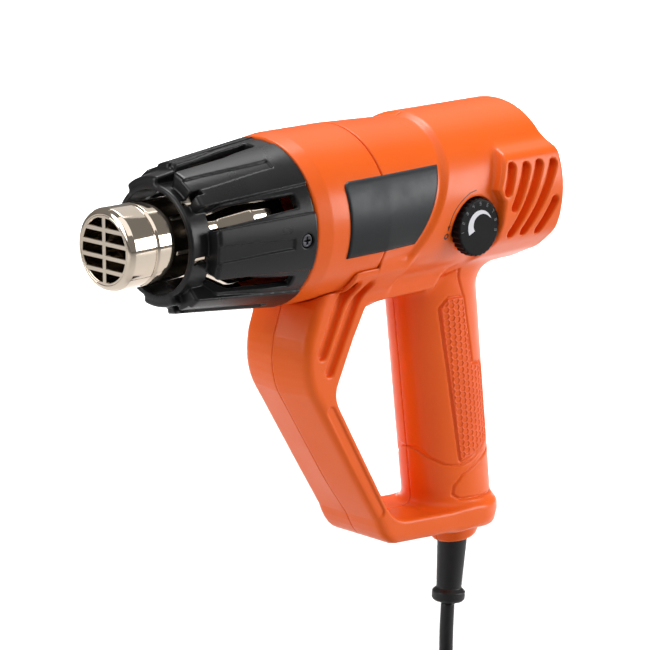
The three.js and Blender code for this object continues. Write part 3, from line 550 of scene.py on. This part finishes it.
REAR_PANEL = [(222, -118), (215.8, -123.5), (203, -128.5), (195, -131.8), (190.5, -137),
              (190.2, -141), (193.3, -143.2), (203, -144), (222, -145.5)]
PAD_OUTLINE = [(180.4, -51.5), (184.2, -47.6), (193.5, -47.9), (200.2, -80.6), (207.2, -81.2),
               (209, -84), (213.6, -112), (212.2, -118), (205, -121.5), (193.7, -124.9)]
PAD_GAP = 0.6
GRIP_LOW, GRIP_HIGH = -58, 66
RECESS_MIDDLE, RECESS_HALF_HEIGHT, RECESS_HALF_WIDTH, RECESS_DEPTH = 29, 18, 7.5, 3.2


def barrel_radius(x, z):
    """Outer radius of the barrel: a rim at the front, then a shallow scoop up to the curved step."""
    reach = np.hypot(x - STEP_CENTRE[0], z - STEP_CENTRE[1])
    lead = np.clip(x - SEAM_X, 0, None)
    ahead = np.clip(STEP_RADIUS - reach, 0, None)
    scoop = lead / (lead + ahead + 1e-3) * (1 - ramp(reach, STEP_RADIUS, STEP_RADIUS + STEP_WIDTH))
    rim_share = np.clip((COLLAR_RIM - x) / (COLLAR_RIM - COLLAR_FRONT), 0, None)
    return BARREL_RADIUS - STEP_DROP * scoop - (BARREL_RADIUS - COLLAR_FRONT_RADIUS) * rim_share


def turned_frame(x, z, origin, angle):
    dx, dz = x - origin[0], z - origin[1]
    return dx * cos(angle) + dz * sin(angle), dz * cos(angle) - dx * sin(angle)


def grip_frame(x, z):
    """Across the grip from its middle towards the rear, and along it upwards."""
    return turned_frame(x, z, GRIP_CENTRE, GRIP_RAKE)


def grip_field(x, y, z, swell=0.0):
    u, w = grip_frame(x, z)
    depth = GRIP_DEPTH - 0.6 + 0.0086 * w + swell
    width = GRIP_HALF_WIDTH + swell
    near = np.hypot(u / depth, y / width)
    slope = np.hypot(u / depth ** 2, y / width ** 2)
    return near * (near - 1) / np.maximum(slope, 1e-6)


def frame_field(x, y, z):
    """Front leg, web and base of the hand guard, and the shoulder that carries them on the barrel."""
    side = np.abs(y)
    keel = KEEL * (1 - side / FRAME_HALF_WIDTH) * ramp(z, -150, -118)
    front = polygon(x, z, LEG_FRONT) - 0.8 * keel
    gap = polygon(x, z, HAND_GAP)
    across = np.where(x > BASE_REAR, np.hypot(x - BASE_REAR, y), side) - FRAME_HALF_WIDTH
    band = smax(smax(front, across, 4.5), -gap, 2.2)
    slope = (12.7 * (side - 31.0) - 10.5 * (z + 24.5)) / 16.5
    shoulder = smax(smax(slope, side - 31.0, 1.0), smax(z + 20.5, 112 - x, 4.0), 1.6)
    shoulder = smax(shoulder, smax(x - 146.5 - 0.35 * (z + 24), -44 - z, 4.0), 3.0)
    body = smin(band, shoulder, 2.5)
    for ends in LEG_GROOVES:
        groove = smax(line(x, z, ends) - GROOVE_HALF_WIDTH, FRAME_HALF_WIDTH - GROOVE_DEPTH - side, 1.2)
        body = smax(body, -groove, 1.2)
    strip = smax(line(x, z, STRIP_ENDS) - STRIP_HALF_WIDTH, FRAME_HALF_WIDTH - STRIP_DEPTH - side, 0.5)
    return smax(body, -strip, 0.6)


def boss_field(x, y, z):
    side = np.abs(y)
    above = (3.8 * (side - 39.0) + 8.9 * (z - 18.5)) / 9.68
    below = (7.1 * (side - 38.8) - 10.9 * (z + 19.4)) / 13.0
    outline = polygon(x, z, BOSS_FRONT)
    body = smax(np.hypot(y, z) - BOSS_RADIUS, smax(above, below, 1.5), 2.0)
    return smax(smax(body, outline, 1.8), x - REAR_X, 2.5)


def vent_field(x, y, z):
    """Slanting slots a few millimetres deep, each with a narrower opening through its floor."""
    slots = np.minimum.reduce([line(x, z, ends) for ends in VENTS]) - VENT_HALF_WIDTH
    openings = np.minimum.reduce([line(x + OPENING_SHIFT, z, ends) for ends in VENTS]) - OPENING_HALF_WIDTH
    shallow = smax(slots, BOSS_RADIUS - VENT_DEPTH - np.hypot(y, z), 0.8)
    return np.minimum(shallow, smax(openings, OPENING_DEPTH - np.abs(y), 0.5))


def gland_field(beside, y, along):
    """The short collar under the base that the strain relief comes out of."""
    ends = smax(-along - GLAND_LENGTH + 0.22 * beside, along - 4, 1.0)
    return smax(np.hypot(beside, y) - GLAND_RADIUS - 0.3 * (along + 8), ends, 1.6)


def seam_distance(x, z):
    """Distance from the nearest seam line, in side view."""
    edges = [np.abs(polygon(x, z, REAR_PANEL)), np.abs(polygon(x, z, PAD_OUTLINE) - PAD_GAP)]
    return np.minimum.reduce([line(x, z, OVERLAY_SEAM), line(x, z, LOWER_SEAM), *edges])


def shell_field(x, y, z):
    """The whole orange body, halves and collar. Only the barrel is hollow: the grip and frame are solid."""
    around = np.hypot(y, z)
    barrel = smax(around - barrel_radius(x, z), x - REAR_X, 4.0)
    barrel = smax(barrel, COLLAR_FRONT - x, 1.0)
    collar_space = smax(around - BARREL_RADIUS - 0.2, x - SEAM_X - 0.15, 0.3)
    frame_part = smax(frame_field(x, y, z), -collar_space, 0.6)
    u, w = grip_frame(x, z)
    grip = smax(grip_field(x, y, z), smax(GRIP_LOW - w, w - GRIP_HIGH, 2.0), 1.0)
    grip_and_frame = smin(grip, frame_part, 7.0)
    blend = 3.0 + 8.0 * ramp(x, 176, 212)
    body = np.where(x > SEAM_X, smin(barrel, grip_and_frame, blend), np.minimum(barrel, grip_and_frame))
    body = smin(body, boss_field(x, y, z), 1.6 + 4.5 * ramp(-z, 3, 12))
    beside, along = turned_frame(x, z, BASE_ORIGIN, -BASE_SLOPE)
    body = smin(body, gland_field(beside, y, along), 2.5)
    body = smax(body, -smax(np.hypot(beside, y) - GLAND_BORE, along - 10, 0.5), 0.8)
    body = body + SEAM_DEPTH * np.exp(-(seam_distance(x, z) / SEAM_WIDTH) ** 2)
    hollow = smax(around - (BARREL_RADIUS - BARREL_WALL), smax(86 - x, x - (REAR_X - 3), 0.5), 0.5)
    body = smax(body, -hollow, 0.3)
    body = smax(body, -vent_field(x, y, z), 0.8)
    recess = smax(np.abs(y) - RECESS_HALF_WIDTH, GRIP_DEPTH - RECESS_DEPTH - u, 0.6)
    body = smax(body, -smax(recess, np.abs(w - RECESS_MIDDLE) - RECESS_HALF_HEIGHT, 1.5), 1.0)
    return np.maximum(body, x - REAR_X)


def dial_seat(x, y, z):
    """The flat pad under the dial, and the round pocket the knob stands in."""
    around = np.hypot(x - DIAL_CENTRE[0], z - DIAL_CENTRE[1])
    pad = smax(around - DIAL_RADIUS + 1.2, smax(DIAL_SEAT - y, y - DIAL_SEAT - 3, 0.5), 0.5)
    return pad, smax(around - DIAL_RADIUS - 0.45, y - DIAL_SEAT, 0.4)


def half_field(side):
    """One half of the housing: the body behind the collar, cut on the middle plane."""
    def field(x, y, z):
        body = shell_field(x, y, z)
        body = smax(body, np.minimum(SEAM_X + 0.2 - x, BARREL_RADIUS + 0.15 - np.hypot(y, z)), 0.7)
        body = smax(body, 0.05 - side * y, 0.25)
        if side < 0:
            pad, seat = dial_seat(x, y, z)
            return smax(smin(body, pad, 0.5), -seat, 0.7)
        for sx, sz in HOUSING_SCREWS:
            hole = smax(np.hypot(x - sx, z - sz) - HOUSING_HOLE_RADIUS, HOUSING_HOLE_FLOOR - y, 0.4)
            body = smax(body, -hole, 0.6)
        return body
    return field


def collar_field(x, y, z):
    around = np.hypot(y, z)
    ring = smax(around - barrel_radius(x, z), smax(x - SEAM_X + 0.2, COLLAR_FRONT - x, 0.8), 1.0)
    return smax(ring, BARREL_RADIUS - BARREL_WALL - around, 0.5)


BODY_STEP = 0.6


def make_housing():
    for hand, side in SIDES:
        low = (88, -44 if side < 0 else -1, -168)
        high = (235, 1 if side < 0 else 44, 40)
        field_piece(f"housing_{hand}_shell", half_field(side), low, high, BODY_STEP, ORANGE,
                    slot="housing", replaces=(f"housing_{hand}",))
    field_piece("front_collar_ring", collar_field, (82, -39, -39), (128, 39, 39), BODY_STEP, ORANGE,
                slot="housing", replaces=("front_collar",))


make_housing()


# ---- nose guard, nozzle and grille ----
def guard_radius(x):
    share = (x - GUARD_RIB_STARTS.min()) / (GUARD_REAR - GUARD_RIB_STARTS.min())
    return GUARD_FRONT_RADIUS + (GUARD_REAR_RADIUS - GUARD_FRONT_RADIUS) * share


def guard_block(x, around, turn, centre, half):
    """A raised block on the front ring."""
    off = np.abs((turn - centre + 180) % 360 - 180)
    block = smax(around - 27.5 - 0.15 * (x - GUARD_RING_X), np.radians(off - half) * around, 1.6)
    return smax(block, smax(GUARD_RING_X - x, x - 38, 2.0), 1.6)


def guard_screw_hole(x, y, z, degrees):
    t = radians(degrees)
    out = -y * cos(t) + z * sin(t)
    across = y * sin(t) + z * cos(t)
    return smax(np.hypot(x - GUARD_SCREW_X, across) - GUARD_HOLE_RADIUS, GUARD_HOLE_FLOOR - out, 0.3)


def guard_field(x, y, z):
    """A ring and a cone with six raised ribs, windows between the ribs and a channel along each rib."""
    low = z + GUARD_DROP
    around = np.hypot(y, low)
    turn = np.degrees(np.arctan2(low, -y))
    sector = turn - GUARD_TURN + 30
    local = sector % 60 - 30
    off = np.abs(local)
    start = GUARD_RIB_STARTS[(np.floor(sector / 60) % 6).astype(int)]
    arc = np.radians(1.0) * around
    outer = guard_radius(x)
    valley = outer - GUARD_VALLEY - 1.0 * (1 - ramp(x, 46, 66))
    cone = GUARD_RING_RADIUS + (valley - GUARD_RING_RADIUS) * ramp(x, 35.5, 40.5)
    body = smax(around - cone, GUARD_RING_X - x, 1.2)
    rib = smax(smax(around - outer, arc * (off - RIB_HALF_ANGLE), 0.7), start - x, 1.8)
    body = smin(body, rib, 0.5)
    for centre, half in GUARD_BLOCKS:
        body = smin(body, guard_block(x, around, turn, centre, half), 1.0)
    body = smax(body, x - GUARD_REAR, 0.6)
    inner = GUARD_BORE + (outer - GUARD_WALL - GUARD_BORE) * ramp(x, 38, 47)
    body = smax(body, np.minimum(inner, GUARD_REAR_BORE) - around, 0.6)
    half_window = 8.2 - 3.2 * ramp(x, 38, 76)
    window = smax(arc * (30 - off - half_window), np.abs(x - 56) - 20.5, 1.6)
    body = smax(body, -window, 0.8)
    ring_slot = smax(arc * np.abs(local + 7) - 1.5, np.abs(x - 30) - 3.6, 1.0)
    body = smax(body, -ring_slot, 0.5)
    half_channel = 6.6 - 3.0 * ramp(x, 30, 72)
    channel = smax(arc * (np.abs(local - 1) - half_channel), x - CHANNEL_END, 0.5)
    channel = smax(channel, outer - CHANNEL_DEPTH - around, 0.5)
    body = smax(body, -channel, 0.6)
    for degrees in GUARD_SCREW_ANGLES:
        body = smax(body, -guard_screw_hole(x, y, z, degrees), 0.4)
    return body


def make_guard():
    step = 0.45
    field_piece("nose_guard_cage", guard_field, (23, -39, -39), (86, 39, 39), step, BLACK,
                slot="nose_guard", replaces=("nose_guard",))


def make_nozzle():
    groove = 0.8
    outside = [(LIP_X, 14.6, 0.3), (LIP_X, 15.4, 0), (-1.4, 16.6, 0.8), (0.4, NOZZLE_RADIUS, 1.4),
               (11.2, NOZZLE_RADIUS, 0.5), (12.3, NOZZLE_RADIUS - groove, 0.8),
               (13.4, NOZZLE_RADIUS, 0.5), (46, NOZZLE_RADIUS, 5),
               (60, 24, 5), (114, 24, 0.4), (114, 27, 0.2), (116, 27, 0.2), (116, 23.1, 0.2)]
    inside = [(60.4, 23.1, 4), (46.4, 15.8, 4), (1, 15.8, 0.5), (0.2, 14.6, 0.2)]
    points, faces = revolve_x(rounded_profile(outside + inside, 8), 160)
    mesh_object("nozzle_outlet", points, faces[:, ::-1], CHROME, slot="nozzle", replaces=("nozzle_tube",))


def flat_piece(name, outlines, place, axis, thickness, edge, material, **piece):
    """A plate from closed outlines, holes included, with softly rounded edges."""
    curve = bpy.data.curves.new(name, "CURVE")
    curve.dimensions = "2D"
    curve.fill_mode = "BOTH"
    curve.extrude = thickness / 2 - edge
    curve.bevel_depth = edge
    curve.bevel_resolution = 3
    curve.offset = -edge
    for outline in outlines:
        spline = curve.splines.new("POLY")
        spline.points.add(len(outline) - 1)
        for point, (u, v) in zip(spline.points, outline):
            point.co = (u, v, 0, 1)
        spline.use_cyclic_u = True
    holder = linked(name + "_curve", curve)
    bpy.context.view_layer.update()
    source = holder.evaluated_get(bpy.context.evaluated_depsgraph_get()).to_mesh()
    u, v, w = np.array([vertex.co for vertex in source.vertices], float).T
    faces = [tuple(p.vertices) for p in source.polygons]
    bpy.data.objects.remove(holder)
    points = np.stack((w, -u, v) if axis == "x" else (u, w, v), 1) + place
    return mesh_object(name, points, faces, material, smooth=False, **piece)


def circle(radius, steps):
    angles = np.linspace(0, 2 * pi, steps, endpoint=False)
    return list(zip(radius * np.cos(angles), radius * np.sin(angles)))


GRILLE_PITCH, GRILLE_HALF_HEIGHT = 5.7, 1.85
GRILLE_LIMIT, GRILLE_BAR = 13.6, 1.05


def grille_window(row_number, side):
    """One opening: a bar-shaped hole, cut round at its outer end."""
    middle = row_number * GRILLE_PITCH
    low, high = middle - GRILLE_HALF_HEIGHT, middle + GRILLE_HALF_HEIGHT
    levels = np.linspace(low, high, 9)
    outer = [(side * sqrt(GRILLE_LIMIT ** 2 - min(abs(z), GRILLE_LIMIT - 0.4) ** 2), z) for z in levels]
    return [(side * GRILLE_BAR, high), (side * GRILLE_BAR, low)] + outer


def make_grille():
    outlines = [circle(14.7, 96)]
    for row_number in (-2, -1, 0, 1, 2):
        outlines += [grille_window(row_number, -1), grille_window(row_number, 1)]
    flat_piece("outlet_grille", outlines, (LIP_X + 0.75, 0, 0), "x", 1.4, 0.3, CHROME, slot="nozzle",
               replaces=("nozzle_grille",))


def screw_field(x, y, z):
    """A cross-head screw, its head towards -Y, standing at the origin."""
    around = np.hypot(x, z)
    head = smax(around - 2.85, smax(-0.9 - y - 0.02 * around ** 2, y - 0.9, 0.4), 0.7)
    shank = smax(around - 1.4, smax(-y, y - 6, 0.3), 0.4)
    cross = np.minimum(smax(np.abs(x) - 0.42, np.abs(z) - 1.75, 0.2),
                       smax(np.abs(z) - 0.42, np.abs(x) - 1.75, 0.2))
    return smax(smin(head, shank, 0.4), -smax(cross, y - 0.35, 0.2), 0.25)


def make_screws():
    """The guard's screws stand out from its axis, and the housing's are entered from the right."""
    points, faces = surface_of(screw_field, (-3.4, -1.6, -3.4), (3.4, 6.6, 3.4), 0.16)
    x, y, z = points.T
    lifted = y - GUARD_SCREW_OUT
    for k, degrees in enumerate(GUARD_SCREW_ANGLES):
        t = radians(degrees)
        placed = np.stack([x + GUARD_SCREW_X, lifted * cos(t) + z * sin(t),
                           -lifted * sin(t) + z * cos(t)], 1)
        mesh_object(f"guard_screw_head_{k + 1}", placed, faces, DARK_STEEL, slot="screws",
                    replaces=(f"guard_screw_{k + 1}",))
    for k, (sx, sz) in enumerate(HOUSING_SCREWS):
        placed = np.stack([x + sx, HOUSING_SCREW_Y - y, z + sz], 1)
        mesh_object(f"housing_screw_head_{k + 1}", placed, faces[:, ::-1], STEEL, slot="screws",
                    replaces=(f"housing_screw_{k + 1}",))


make_guard()
make_nozzle()
make_grille()
make_screws()


# ---- label plates, grip pads, dial, switch and strain relief ----
LABEL_FRONT, LABEL_TOP, LABEL_BOTTOM = 102.5, 18.7, -14.0
LABEL_OUTER, LABEL_INNER = BARREL_RADIUS + 0.75, BARREL_RADIUS - 2.2
LABEL_EDGE_DROP, LABEL_CORNER, LABEL_CORNER_SHARE = 0.25, 3.0, 0.09


def label_material():
    """Dark satin plate with a fine grain and painted top light: a little lighter towards its top."""
    nodes = Nodes("grey_plate")
    height = nodes.add("ShaderNodeSeparateXYZ", {"Vector": nodes.place()}).outputs["Z"]
    low, high = row([(0, 0, LABEL_BOTTOM), (0, 0, LABEL_TOP)])[:, 2]
    # painted top light: the plate's colour runs from near black at its bottom edge to dark grey at its top
    share = nodes.mapped(height, float(low), float(high), 0.0, 1.0)
    color = nodes.mixed(share, (0.004, 0.005, 0.006, 1), (0.030, 0.034, 0.038, 1))
    gloss = nodes.mapped(nodes.noise(80.0), 0.3, 0.7, 0.34, 0.46)
    nodes.set(Base_Color=color, Roughness=gloss, IOR=1.32)
    nodes.bump(nodes.noise(2600.0, 2.0), 0.08, 0.0002)
    return nodes.material


def make_labels():
    """Curved plates with a lowered rim, which follow the scoop up to the curved step."""
    material = label_material()
    rows, columns = 34, 60
    tall = LABEL_TOP - LABEL_BOTTOM
    index = np.arange(rows * columns).reshape(rows, columns)
    border = np.concatenate([index[:, 0], index[-1, 1:], index[-2::-1, -1], index[0, -2:0:-1]])
    following = np.roll(border, -1)
    wall = np.stack([border, border + index.size, following + index.size, following], 1)
    top = grid_faces(rows, columns)
    faces = np.concatenate([top, top[:, ::-1] + index.size, wall])
    for hand, side in SIDES:
        points = []
        for v in np.linspace(0, 1, rows):
            z = LABEL_BOTTOM + tall * v
            rear = STEP_CENTRE[0] + sqrt((STEP_RADIUS - 1.2) ** 2 - (z - STEP_CENTRE[1]) ** 2)
            near_top = max(0.0, (v - 1 + LABEL_CORNER_SHARE) / LABEL_CORNER_SHARE)
            front = LABEL_FRONT + LABEL_CORNER * (1 - sqrt(max(0.0, 1 - near_top ** 2)))
            for u in np.linspace(0, 1, columns):
                x = front + (rear - front) * u
                lift = LABEL_OUTER - (0 if min(u, 1 - u, v, 1 - v) > 0 else LABEL_EDGE_DROP)
                radius = lift - BARREL_RADIUS + float(barrel_radius(np.array(x), np.array(z)))
                points.append((x, side * sqrt(radius ** 2 - z * z), z))
        inner = np.array(points)
        inner[:, 1] = side * np.sqrt(np.maximum(LABEL_INNER ** 2 - inner[:, 2] ** 2, 0))
        mesh_object(f"label_plate_{hand}_face", np.concatenate([points, inner]), faces[:, ::side], material,
                    slot="label_plate", replaces=(f"label_plate_{hand}",))


def honeycomb(u, v, pitch):
    """Distance from the middle of the nearest cell of a hexagon grid, as a share of its half width."""
    height = pitch * sqrt(3)
    gaps = []
    for du, dv in ((0.0, 0.0), (pitch / 2, height / 2)):
        a = (u - du + pitch / 2) % pitch - pitch / 2
        b = (v - dv + height / 2) % height - height / 2
        gaps.append(np.maximum(np.abs(a), np.abs(a) / 2 + np.abs(b) * sqrt(3) / 2))
    return np.minimum(*gaps) / (pitch / 2)


PAD_CELL_PITCH, PAD_DIMPLE, PAD_ROUND = 3.0, 0.75, 20.5


def pad_field(side):
    """A grip overlay, with a field of dimples that stops short of its outline."""
    def field(x, y, z):
        u, w = grip_frame(x, z)
        turn = np.arctan2(side * y / GRIP_HALF_WIDTH, u / GRIP_DEPTH)
        cells = honeycomb(w, turn * PAD_ROUND, PAD_CELL_PITCH)
        outline = polygon(x, z, PAD_OUTLINE)
        dimple = PAD_DIMPLE * (1 - ramp(cells, 0.60, 0.86)) * ramp(-outline, 0.2, 1.2)
        skin = grip_field(x, y, z, 0.45) + dimple
        body = smax(skin, -grip_field(x, y, z, -2.6), 0.5)
        return smax(smax(body, outline, 0.8), 2.0 - side * y, 0.3)
    return field


def make_pads():
    step = 0.42
    for hand, side in SIDES:
        low = (178, -20 if side < 0 else 1, -127)
        high = (216, -1 if side < 0 else 20, -45)
        field_piece(f"grip_pad_{hand}_cells", pad_field(side), low, high, step, ORANGE_SOFT,
                    slot="grip_pad", replaces=(f"grip_pad_{hand}",))


TEETH, TOOTH_DEPTH = 30, 0.55


def knob_field(x, y, z):
    """A round knob with a toothed rim and a flat face with a narrow soft edge."""
    u, w = x - DIAL_CENTRE[0], z - DIAL_CENTRE[1]
    around = np.hypot(u, w)
    teeth = TOOTH_DEPTH * np.abs(np.sin(np.arctan2(w, u) * TEETH / 2)) ** 1.5
    rim = around - DIAL_RADIUS + teeth
    slope = (around - DIAL_RADIUS + 0.6 + DIAL_FACE - y) / 1.42
    return smax(smax(rim, slope, 0.5), smax(DIAL_FACE - y, y - DIAL_SEAT + 0.3, 0.3), 0.5)


SEGMENTS = {"a": ((0, 1), (1, 1)), "b": ((1, 1), (1, 0.5)), "c": ((1, 0.5), (1, 0)), "d": ((0, 0), (1, 0)),
            "e": ((0, 0), (0, 0.5)), "f": ((0, 0.5), (0, 1)), "g": ((0, 0.5), (1, 0.5))}
# Each number's segments, from 1 to 9.
DIGITS = ("bc", "abged", "abgcd", "fgbc", "afgcd", "afgecd", "abc", "abcdefg", "abcdfg")
DIGIT_SIZE = (0.8, 1.4)
DIGIT_RADIUS, DIGIT_START, DIGIT_PITCH = 10.7, 212, 25
SWEEP_START, SWEEP_TURN, SWEEP_RADIUS, SWEEP_WIDTH = 203, 180, 7.0, 3.9
INK_HALF = 0.12


def stroke(start, end, half=INK_HALF):
    """A thin bar from start to end, a little longer than the line at both ends."""
    start, end = np.array(start, float), np.array(end, float)
    along = (end - start) / np.linalg.norm(end - start) * half
    across = np.array([-along[1], along[0]])
    return [start - along - across, end + along - across, end + along + across, start - along + across]


def digit_strokes(digit, angle, radius):
    """A number's strokes, upright towards the rim, at an angle round the dial."""
    out = np.array([cos(angle), sin(angle)])
    right = np.array([out[1], -out[0]])
    corner = out * (radius - DIGIT_SIZE[1] / 2) - right * DIGIT_SIZE[0] / 2
    strokes = []
    for segment in DIGITS[digit - 1]:
        ends = [corner + right * DIGIT_SIZE[0] * u + out * DIGIT_SIZE[1] * v for u, v in SEGMENTS[segment]]
        strokes.append(stroke(*ends))
    return strokes


def sweep_outline():
    """The crescent that grows from a point to a broad foot."""
    shares = np.linspace(0, 1, 26)
    angles = np.radians(SWEEP_START - SWEEP_TURN * shares)
    outer = SWEEP_RADIUS + 1.2 * shares
    inner = outer - SWEEP_WIDTH * (1 - shares) ** 0.65
    radii, turns = np.append(outer, inner[-2::-1]), np.append(angles, angles[-2::-1])
    return list(zip(radii * np.cos(turns), radii * np.sin(turns)))


def make_dial():
    field_piece("dial_cap", knob_field, (166, -41, -25), (194, -33, 3.5), 0.3, KNOB, body="dial",
                slot="dial_knob", replaces=("dial_knob",))
    x, z = DIAL_CENTRE
    flat_piece("dial_sweep", [sweep_outline()], (x, DIAL_FACE + 0.04, z), "y", 0.16, 0.03, WHITE_INK,
               body="dial", slot="white_plastic")
    for digit in range(1, 10):
        angle = radians(DIGIT_START - DIGIT_PITCH * digit)
        for k, outline in enumerate(digit_strokes(digit, angle, DIGIT_RADIUS)):
            place = (x, DIAL_FACE + 0.02 - 0.002 * k, z)
            flat_piece(f"dial_digit_{digit}_{k + 1}", [outline], place, "y", 0.12, 0.01, GREY_INK,
                       body="dial", slot="white_plastic")


PRINT_ARC = ((180.5, 5.6), (175.4, 4.4), (169.2, 0.7), (165.4, -3.6), (163.9, -8.4))
PRINT_HALF_WIDTH = 0.22
PRINT_ARROW = ((-0.9, 0), (-0.1, -2.6), (0.9, 0))
PRINT_RING, PRINT_RING_RADII, PRINT_RING_SIDES = (163.6, -13.2), (0.7, 1.4), 24


def on_barrel(x, z, lift=0.03):
    return (x, -sqrt((BARREL_RADIUS + lift) ** 2 - z * z), z)


def make_print():
    """The thin scale printed on the housing round the dial, ending in an arrow and a small ring."""
    route = smooth_route([(x, 0.0, z) for x, z in PRINT_ARC], 0.5)
    along = np.gradient(route, axis=0)
    along /= np.linalg.norm(along, axis=1)[:, None]
    points = [on_barrel(x - side * dz, z + side * dx) for (x, _, z), (dx, _, dz) in zip(route, along)
              for side in (PRINT_HALF_WIDTH, -PRINT_HALF_WIDTH)]
    tip = len(points)
    points += [on_barrel(PRINT_ARC[-1][0] + dx, PRINT_ARC[-1][1] + dz) for dx, dz in PRINT_ARROW]
    rings = [circle(radius, PRINT_RING_SIDES) for radius in PRINT_RING_RADII]
    points += [on_barrel(PRINT_RING[0] + x, PRINT_RING[1] + z) for pair in zip(*rings) for x, z in pair]
    faces = [*grid_faces(len(route), 2), (tip, tip + 1, tip + 2),
             *(grid_faces(PRINT_RING_SIDES, 2, close_rows=True) + tip + 3)]
    mesh_object("dial_scale_print", points, faces, DARK_INK, slot="housing", smooth=False)


SWITCH_MIDDLE, SWITCH_RIB_PITCH = 24.0, 2.6


def slider_field(x, y, z):
    """The switch's ribbed cap on its short stem."""
    u, w = grip_frame(x, z)
    up = w - SWITCH_MIDDLE
    cap = smax(smax(GRIP_DEPTH - 2.9 - u, u - GRIP_DEPTH + 0.9, 0.5),
               smax(np.abs(y) - 6, np.abs(up) - 10, 1.0), 0.8)
    ribs = 0.45 * np.maximum(np.cos(up * 2 * pi / SWITCH_RIB_PITCH), 0) * (1 - ramp(np.abs(up), 6, 7))
    stem = smax(smax(14.5 - u, u - GRIP_DEPTH + 1, 0.3),
                smax(np.abs(y) - 3.4, np.abs(up) - 3, 0.3), 0.3)
    return smin(cap - ribs, stem, 0.3)


def make_switch():
    """The stem runs into the solid grip under the cap: the grip has no slot for it."""
    field_piece("switch_cap", slider_field, (204, -7, -84), (220, 7, -56), 0.3, KNOB, body="switch",
                slot="black_plastic", replaces=("switch_slider",))


SLEEVE = [(-40, 3.35, 0.2), (-40, 6.9, 0.8), (-38.8, 7.8, 0.8), (-35.4, 7.8, 1.2), (-33.6, 5.9, 1.0),
          (0, 7.4, 2.0), (3, 7.6, 0.3), (3.4, 9.4, 0.3), (6.1, 9.4, 0.3), (6.1, 3.35, 0.2)]


def make_strain_relief():
    """A tapered rubber sleeve with a bead at its mouth and a flange inside the sloping base."""
    points, faces = revolve_x(rounded_profile(SLEEVE, 8), 96)
    along, beside, y = points.T
    x, z = turned_frame(beside, along, (0, 0), BASE_SLOPE)
    placed = np.stack([BASE_ORIGIN[0] + x, y, BASE_ORIGIN[1] + z], 1)
    mesh_object("cord_sleeve", placed, faces[:, ::-1], RUBBER, slot="cord_rubber",
                replaces=("strain_relief",))


make_labels()
make_pads()
make_dial()
make_print()
make_switch()
make_strain_relief()


# ---- materials of the CAD nodes that stay ----
KEPT = {
    "heater_core": CERAMIC, "heater_wire": STEEL, "heater_sleeve": MICA, "heater_flange": STEEL,
    "thermal_cutout": OFF_WHITE, "fan_impeller": KNOB, "motor_shaft": STEEL, "motor": STEEL,
    "motor_mount": OFF_WHITE, "air_duct": KNOB, "dial_shaft": BRASS, "potentiometer": STEEL,
    "control_board": BOARD, "intake_screen_left": ORANGE_SOFT, "intake_screen_right": ORANGE_SOFT,
    "switch_body": KNOB, "cord_clamp": OFF_WHITE, "mains_lead": RUBBER,
}
for node, material in KEPT.items():
    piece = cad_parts[node]
    piece.data.materials.clear()
    piece.data.materials.append(material)


# ---- studio ----
FLOOR_SIZE = 9.0


def make_floor():
    """A plain white floor at the height the cord's coil lies on."""
    height = float(row((0, 0, CORD_FLOOR))[2])
    mesh = bpy.data.meshes.new("studio_floor")
    corners = [(i * FLOOR_SIZE, j * FLOOR_SIZE, height) for i, j in ((-1, -1), (1, -1), (1, 1), (-1, 1))]
    mesh.from_pydata(corners, [], [(0, 1, 2, 3)])
    floor = linked("studio_floor", mesh)
    nodes = Nodes("white_floor")
    tone = nodes.mapped(nodes.noise(3.0), 0.3, 0.7, 0.0, 1.0)
    color = nodes.mixed(tone, (0.62, 0.62, 0.62, 1), (0.60, 0.60, 0.60, 1))
    nodes.set(Base_Color=color, Roughness=0.9, Specular_IOR_Level=0.1)
    mesh.materials.append(nodes.material)


# Name, place, target, size, power in watts and spread in degrees.
PANELS = (
    ("right_panel", (1.32, -1.3, 0.42), (0, 0, 0.09), (1.0, 0.8), 21, 180),
    ("top_panel", (-0.3, -0.9, 2.0), (0, 0, 0), (2.6, 2.2), 19, 180),
    ("back_panel", (1.2, 0.8, 1.4), (0, 0, 0.1), (1.6, 1.2), 3.2, 180),
    ("left_panel", (-1.6, 0.6, 0.7), (0, 0, 0), (0.8, 1.2), 15, 180),
    ("floor_wash", (1.9, 2.0, 1.9), (1.9, 2.0, -0.2), (3.6, 3.6), 200, 80),
)


def make_light(name, place, target, size, power, spread):
    data = bpy.data.lights.new(name, "AREA")
    data.shape = "RECTANGLE"
    data.size, data.size_y = size
    data.energy = power
    data.spread = radians(spread)
    light = linked(name, data)
    light.location = place
    direction = Vector(target) - Vector(place)
    light.rotation_euler = direction.to_track_quat("-Z", "Y").to_euler()


def make_world():
    world = bpy.data.worlds.new("studio")
    world.use_nodes = True
    background = world.node_tree.nodes["Background"]
    background.inputs["Color"].default_value = (1.0, 0.97, 0.94, 1)
    background.inputs["Strength"].default_value = 0.22
    bpy.context.scene.world = world


make_floor()
for panel in PANELS:
    make_light(*panel)
make_world()
bpy.context.scene.view_settings.view_transform = "Standard"
